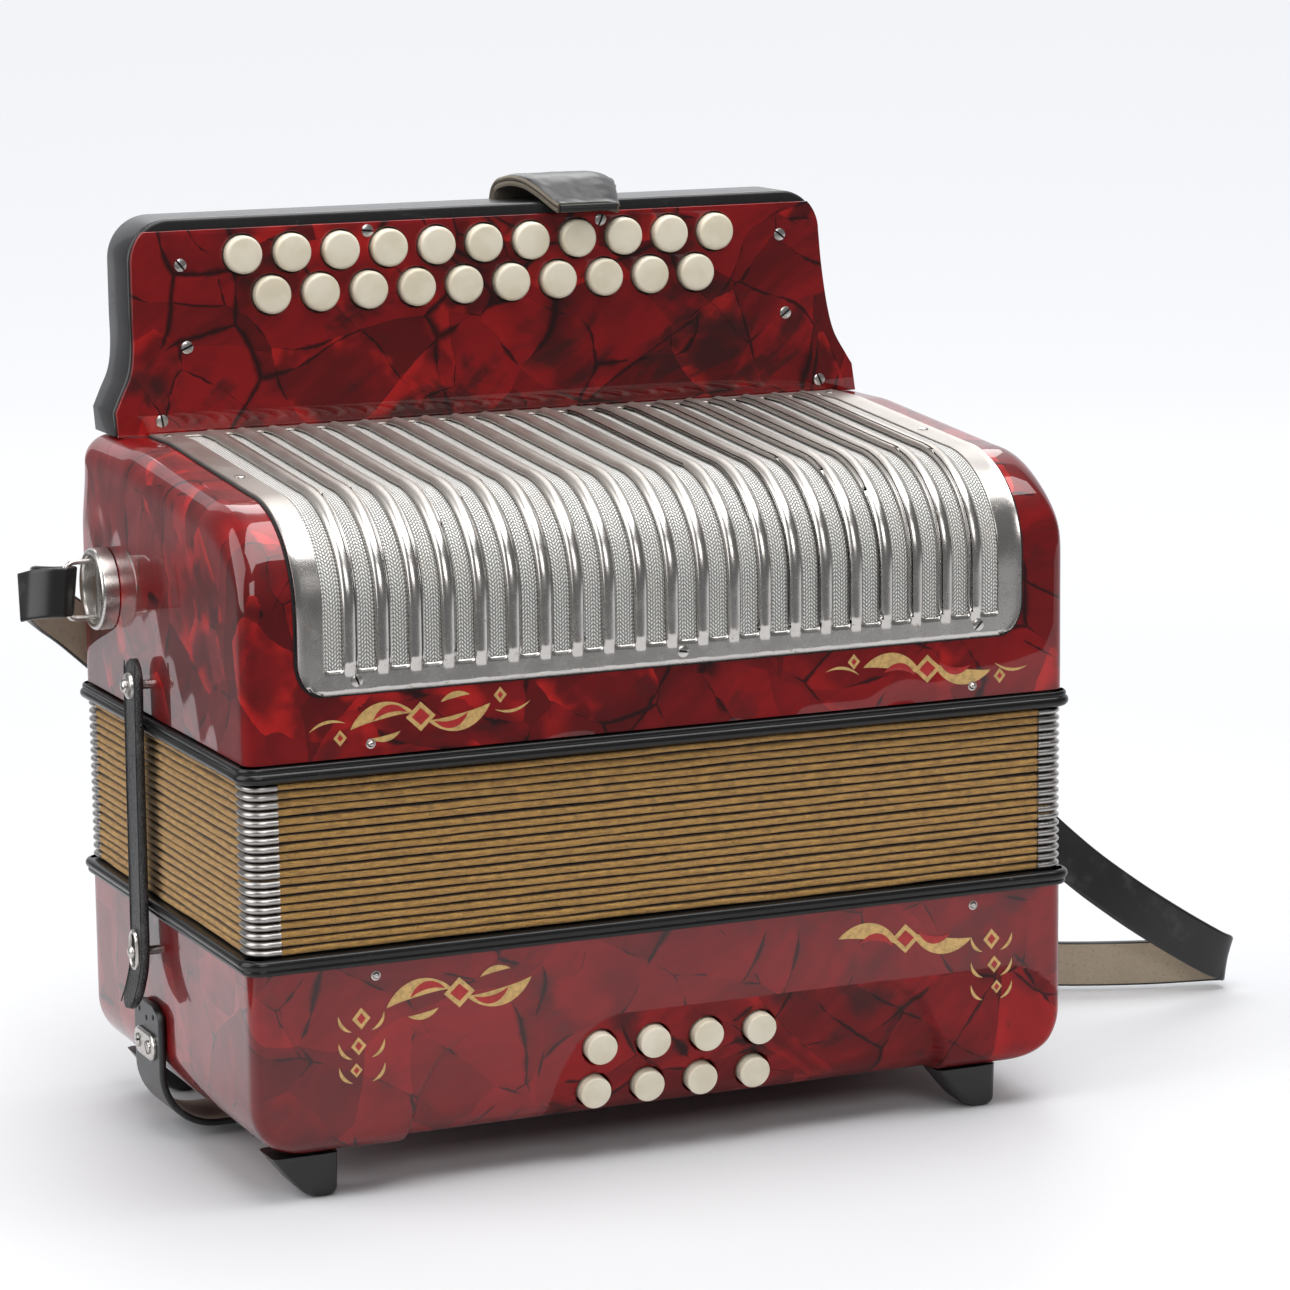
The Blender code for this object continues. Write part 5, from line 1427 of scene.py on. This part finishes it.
# ---- strap brackets and rings ------------------------------------------------------------------------
def strap_brackets():
    """Turned cups with a rolled rim, and the bent wire rings whose ends turn in them."""
    for side, sign in (("left", -1), ("right", 1)):
        shape = Shape()
        rim = arc(12.2, 4.4, (1.2, 1.3), 0, 180, 10)
        profile = [(0, 0), (13.4, 0.0), (13.4, 4.4), *map(tuple, rim[1:]), (10.9, 1.6), (10.3, 1.2), (0, 1.2)]
        turned(shape, (sign * (HALF_X + 0.3), RING_Y, RING_HEIGHT), (sign, 0, 0), profile, 64)
        name = f"strap_bracket_{side}"
        shape.make(name + "_cup", [NICKEL], "treble_body", "nickel", [name], crease=50)
        screws = Shape()
        z = RING_HEIGHT if sign > 0 else RING_HEIGHT - 5.5
        for y in (RING_Y - 5.5, RING_Y + 5.5):
            screw(screws, (sign * (HALF_X + 1.5), y, z), (sign, 0, 0), 2.2, 0.8, 0.8)
        screws.make(f"bracket_screws_{side}", [NICKEL, HOLE], "treble_body", "nickel", crease=40)
        out = np.array((-1.0, 0, 0)) if sign < 0 else unit(np.array((0.5, 0, -0.866)))
        across = np.array((0, 0, 1.0)) if sign < 0 else np.array((0, 1.0, 0))
        corners = [arc(8.0, 6.8, 2.5, 90, 0, 6), arc(8.0, -6.8, 2.5, 0, -90, 6)]
        loop = evenly(np.vstack([[(0, -9.3), (0, 9.3)], *corners]), 90, closed=True)
        tube = arc(0, 0, 0.9, 0, 360, 12)[:-1]
        third = np.cross(out, across)
        flat = loop[:, None] + outward(loop, closed=True)[:, None] * tube[None, :, :1]
        pivot = np.array((sign * (HALF_X + 0.3 + 3.1), RING_Y, RING_HEIGHT))
        points = pivot + flat[..., :1] * out + flat[..., 1:] * across + tube[None, :, 1:] * third
        ring = Shape()
        ring.grid(points, around=True, across=True)
        node = f"strap_ring_{side}"
        ring.make(node + "_wire", [NICKEL], node + "_body", "nickel", [node])


# ---- ornaments ---------------------------------------------------------------------------------------
def leaf(shape, start, end, bend, width, lift, slot):
    """A pointed leaf on the front: its spine bows sideways, and its width is the sine of the way along."""
    a, b = np.array(start, float), np.array(end, float)
    t = np.linspace(0, 1, 22)[:, None]
    side = np.array((-(b - a)[1], (b - a)[0]))
    side /= np.linalg.norm(side)
    spine = a + (b - a) * t + side * bend * 4 * t * (1 - t)
    normal = -outward(spine)
    half = width / 2 * np.sin(np.pi * t) ** 0.85
    across = np.array([-1.0, 0.0, 1.0, 0.0])
    rise = np.array([0.0, 0.04, 0.0, -0.12])
    flat = spine[:, None] + normal[:, None] * (half * across)[..., None]
    y = -HALF_Y - lift - np.broadcast_to(rise, flat.shape[:2]) * np.sin(np.pi * t)
    shape.grid(np.dstack([flat[..., 0], y, flat[..., 1]]), across=True, slot=slot)


def diamond(shape, x, z, wide, tall, lift, slot):
    """Four points round a centre that stands a little proud, and drawn to a point behind."""
    ring = [(x - wide, z), (x, z - tall), (x + wide, z), (x, z + tall)]
    rows = []
    for rise in (-0.1, 0, 0.03):
        rows.append([(a, -HALF_Y - lift - rise, b) for a, b in ([(x, z)] * 4 if rise else ring)])
    shape.grid(np.array(rows, float), across=True, slot=slot)


def sprig(shape, x, z, sign, size, tails=True):
    """A plain sprig: a diamond between two bowed leaves, with a smaller pair and a bud beyond each."""
    def at(u, v):
        return x + sign * u * size, z + v * size

    for way in (-1, 1):
        if tails:
            leaf(shape, at(way * 33, 0), at(way * 49, 2.6 * way), -2.4 * size, 1.3 * size, 0.10, 0)
            diamond(shape, *at(way * 35.5, 6.0 * way), 2.9 * size, 3.4 * size, 0.10, 0)
            diamond(shape, *at(way * 35.5, 6.0 * way), 1.3 * size, 1.6 * size, 0.17, 1)
        leaf(shape, at(way * 3, -2.0 * way), at(way * 31, 3.0 * way), -4.4 * size, 7.0 * size, 0.10, 0)
        leaf(shape, at(way * 6, -2.4 * way), at(way * 21, 0), -3.3 * size, 3.2 * size, 0.17, 1)
        leaf(shape, at(way * 9, 5.2 * way), at(way * 22, 7.4 * way), 1.6 * size, 2.6 * size, 0.10, 0)
    diamond(shape, *at(0, 0), 6.6 * size, 6.2 * size, 0.11, 0)
    diamond(shape, *at(0, 0), 4.0 * size, 3.6 * size, 0.18, 1)


def drop(shape, x, z, sign):
    """A short hanging row of diamonds between small leaves, at a corner."""
    for step, size in ((0, 3.0), (8.6, 2.5), (16.2, 2.0)):
        diamond(shape, x + sign * step * 0.12, z - step, size, size * 1.15, 0.11, 0)
        diamond(shape, x + sign * step * 0.12, z - step, size * 0.5, size * 0.6, 0.18, 1)
        leaf(shape, (x - 3.2, z - step - 4), (x - 7.5, z - step + 1.5), 1.2, 1.1, 0.10, 0)
        leaf(shape, (x + 3.2, z - step - 4), (x + 7.5, z - step + 1.5), -1.2, 1.1, 0.10, 0)


def ornaments():
    """A pair of sprigs on each end, and a drop at each upper corner of the bass end."""
    treble, bass = Shape(), Shape()
    sprig(treble, -84, 149.6, 1, 0.74)
    sprig(treble, 90, 149.6, -1, 0.74)
    treble.make("treble_ornament", [GOLD, RED_PAINT], "treble_body", "red_celluloid")
    sprig(bass, -73, 61.6, 1, 0.78, False)
    sprig(bass, 82, 61.6, -1, 0.78, False)
    drop(bass, -105.5, 57, -1)
    drop(bass, 113.5, 58, 1)
    bass.make("bass_ornament", [GOLD, RED_PAINT], "bass_body", "red_celluloid")


# ---- feet, inside pieces, floor and light ------------------------------------------------------------
def feet():
    """Wedges with an upright inner end, a slope towards the other, and rounded edges: level slices of a
    rounded rectangle that narrow towards the floor."""
    tall, inner_end = 14.2, 10.5
    for name, x, y in (
        ("foot_front_left", -122.5, -70.0),
        ("foot_front_right", 107.5, -70.0),
        ("foot_rear_left", -122.5, 64.0),
        ("foot_rear_right", 107.5, 64.0),
    ):
        rows = []
        for z in [0.0, 0.1, 0.3, 0.7, 1.2, 2.0, 3, 5, 7, 9, 11, 12.4, 13.4, tall]:
            share = z / tall
            left = 1.5 - 12.5 * share**0.85
            inset = 2.6 * (1 - math.sqrt(1 - max(0.0, 1 - z / 3.0) ** 2))
            half = (inner_end - left) / 2 - inset
            ring = rectangle(half, 7.5 - inset - 0.8 * (1 - share), 2.4, 6, 4, 4)
            middle = x + (inner_end + left) / 2
            rows.append(np.column_stack([ring[:, 0] + middle, ring[:, 1] + y, np.full(len(ring), z)]))
        shape = Shape()
        index = shape.grid(np.array(rows), across=True)
        shape.close(index)
        shape.make(name + "_wedge", [RUBBER], "bass_body", "foot_rubber", [name], crease=50)


def dress_inside():
    for name in ("bass_soundboard", "bass_reed_block", "treble_soundboard", "treble_reed_block_front",
                 "treble_reed_block_rear", "treble_lever_rail"):  # fmt: skip
        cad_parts[name].data.materials.clear()
        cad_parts[name].data.materials.append(WOOD)


def floor():
    """A pale floor that curves up into a wall, turned to face the camera. Its left edge spreads with
    distance."""
    f = Finish("backdrop", roughness=0.55, Specular_IOR_Level=0.25, Emission_Strength=1.0)
    far = Num(f, f.vector("LENGTH", f.place(), output=1).socket).ramp(420.0, 1150.0)
    tint = f.mix(f.noise(f.place(), 900.0, 2.0), (0.605, 0.61, 0.625), (0.635, 0.64, 0.655))
    f.set("Base Color", f.mix(far, tint, (0.05, 0.05, 0.05)))
    f.set("Emission Color", f.mix(far, (0.0, 0.0, 0.0), (0.84, 0.85, 0.88)))
    near = [(-540, 0), (78, 0), (383, 0), (1207, 0), (1600, 0)]
    curve = np.vstack([near, arc(1600, 1400, 1400, 270, 360, 24)[1:], [(3000, 4200)]])
    left = np.interp(curve[:, 0], [78, 383, 1207, 3000], [-330, -562, -1188, -2550])
    across = np.linspace(0, 1, 12)
    x = left[:, None] + (4200 - left)[:, None] * across
    points = np.stack([x, *(np.repeat(curve[:, i : i + 1], 12, 1) for i in (0, 1))], -1)
    shape = Shape()
    shape.grid(points)
    backdrop = shape.make("backdrop", [f.material], None, "foot_rubber", is_open=True)
    del backdrop["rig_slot"]
    face_outwards(backdrop, (0, 9000, -9000))
    backdrop.data.transform(Matrix.Rotation(-YAW, 4, "Z"))


def room():
    """A white room that is dimmer as a light than it looks to the camera."""
    world = bpy.data.worlds.new("studio")
    world.use_nodes = True
    tree = world.node_tree
    seen = tree.nodes.new("ShaderNodeLightPath")
    strength = tree.nodes.new("ShaderNodeMapRange")
    strength.inputs[3].default_value, strength.inputs[4].default_value = ROOM_GLOW, 0.95
    tree.links.new(seen.outputs["Is Camera Ray"], strength.inputs[0])
    tree.links.new(strength.outputs[0], tree.nodes["Background"].inputs[1])
    tree.nodes["Background"].inputs[0].default_value = (0.95, 0.97, 1.0, 1)
    bpy.context.scene.world = world
    bpy.context.scene.view_settings.view_transform = "Standard"


def lamps():
    """Four soft lamps: to the left, above, in front and behind."""
    for name, place, aim, size, power, colour in (
        ("left_bank", (-1500, 150, 900), (0, 0, 160), (1.5, 1.9), 25, (1.0, 1.0, 1.0)),
        ("top_bank", (150, -250, 1750), (0, 0, 150), (1.7, 1.3), 36, (1.0, 1.0, 1.0)),
        ("front_bank", (-300, -2300, 1500), (0, 0, 130), (1.4, 0.9), 18, (1.0, 0.99, 0.98)),
        ("back_bank", (500, 1500, 1500), (0, 0, 150), (1.3, 0.9), 12, (1.0, 1.0, 1.0)),
    ):
        data = bpy.data.lights.new(name, "AREA")
        data.shape, data.size, data.size_y = "RECTANGLE", *size
        data.energy, data.color = power, colour
        lamp = bpy.data.objects.new(name, data)
        lamp.location = Vector(place) * MM
        lamp.rotation_euler = (Vector(aim) - Vector(place)).to_track_quat("-Z", "Y").to_euler()
        bpy.context.scene.collection.objects.link(lamp)


treble_case()
grille()
cloth_behind_grille()
bass_shell()
buttons()
plate_screws()
bellows_pins()
bellows()
bellows_frame("lower_frame_moulding", FRAME_LOW, -1, "bass_body", "bass_bellows_frame")
bellows_frame("upper_frame_moulding", FRAME_HIGH, 1, "treble_body", "treble_bellows_frame")
fingerboard_body()
fingerboard_plate()
bellows_straps()
hand_strap()
thumb_strap()
shoulder_strap()
strap_brackets()
ornaments()
feet()
dress_inside()
floor()
room()
lamps()
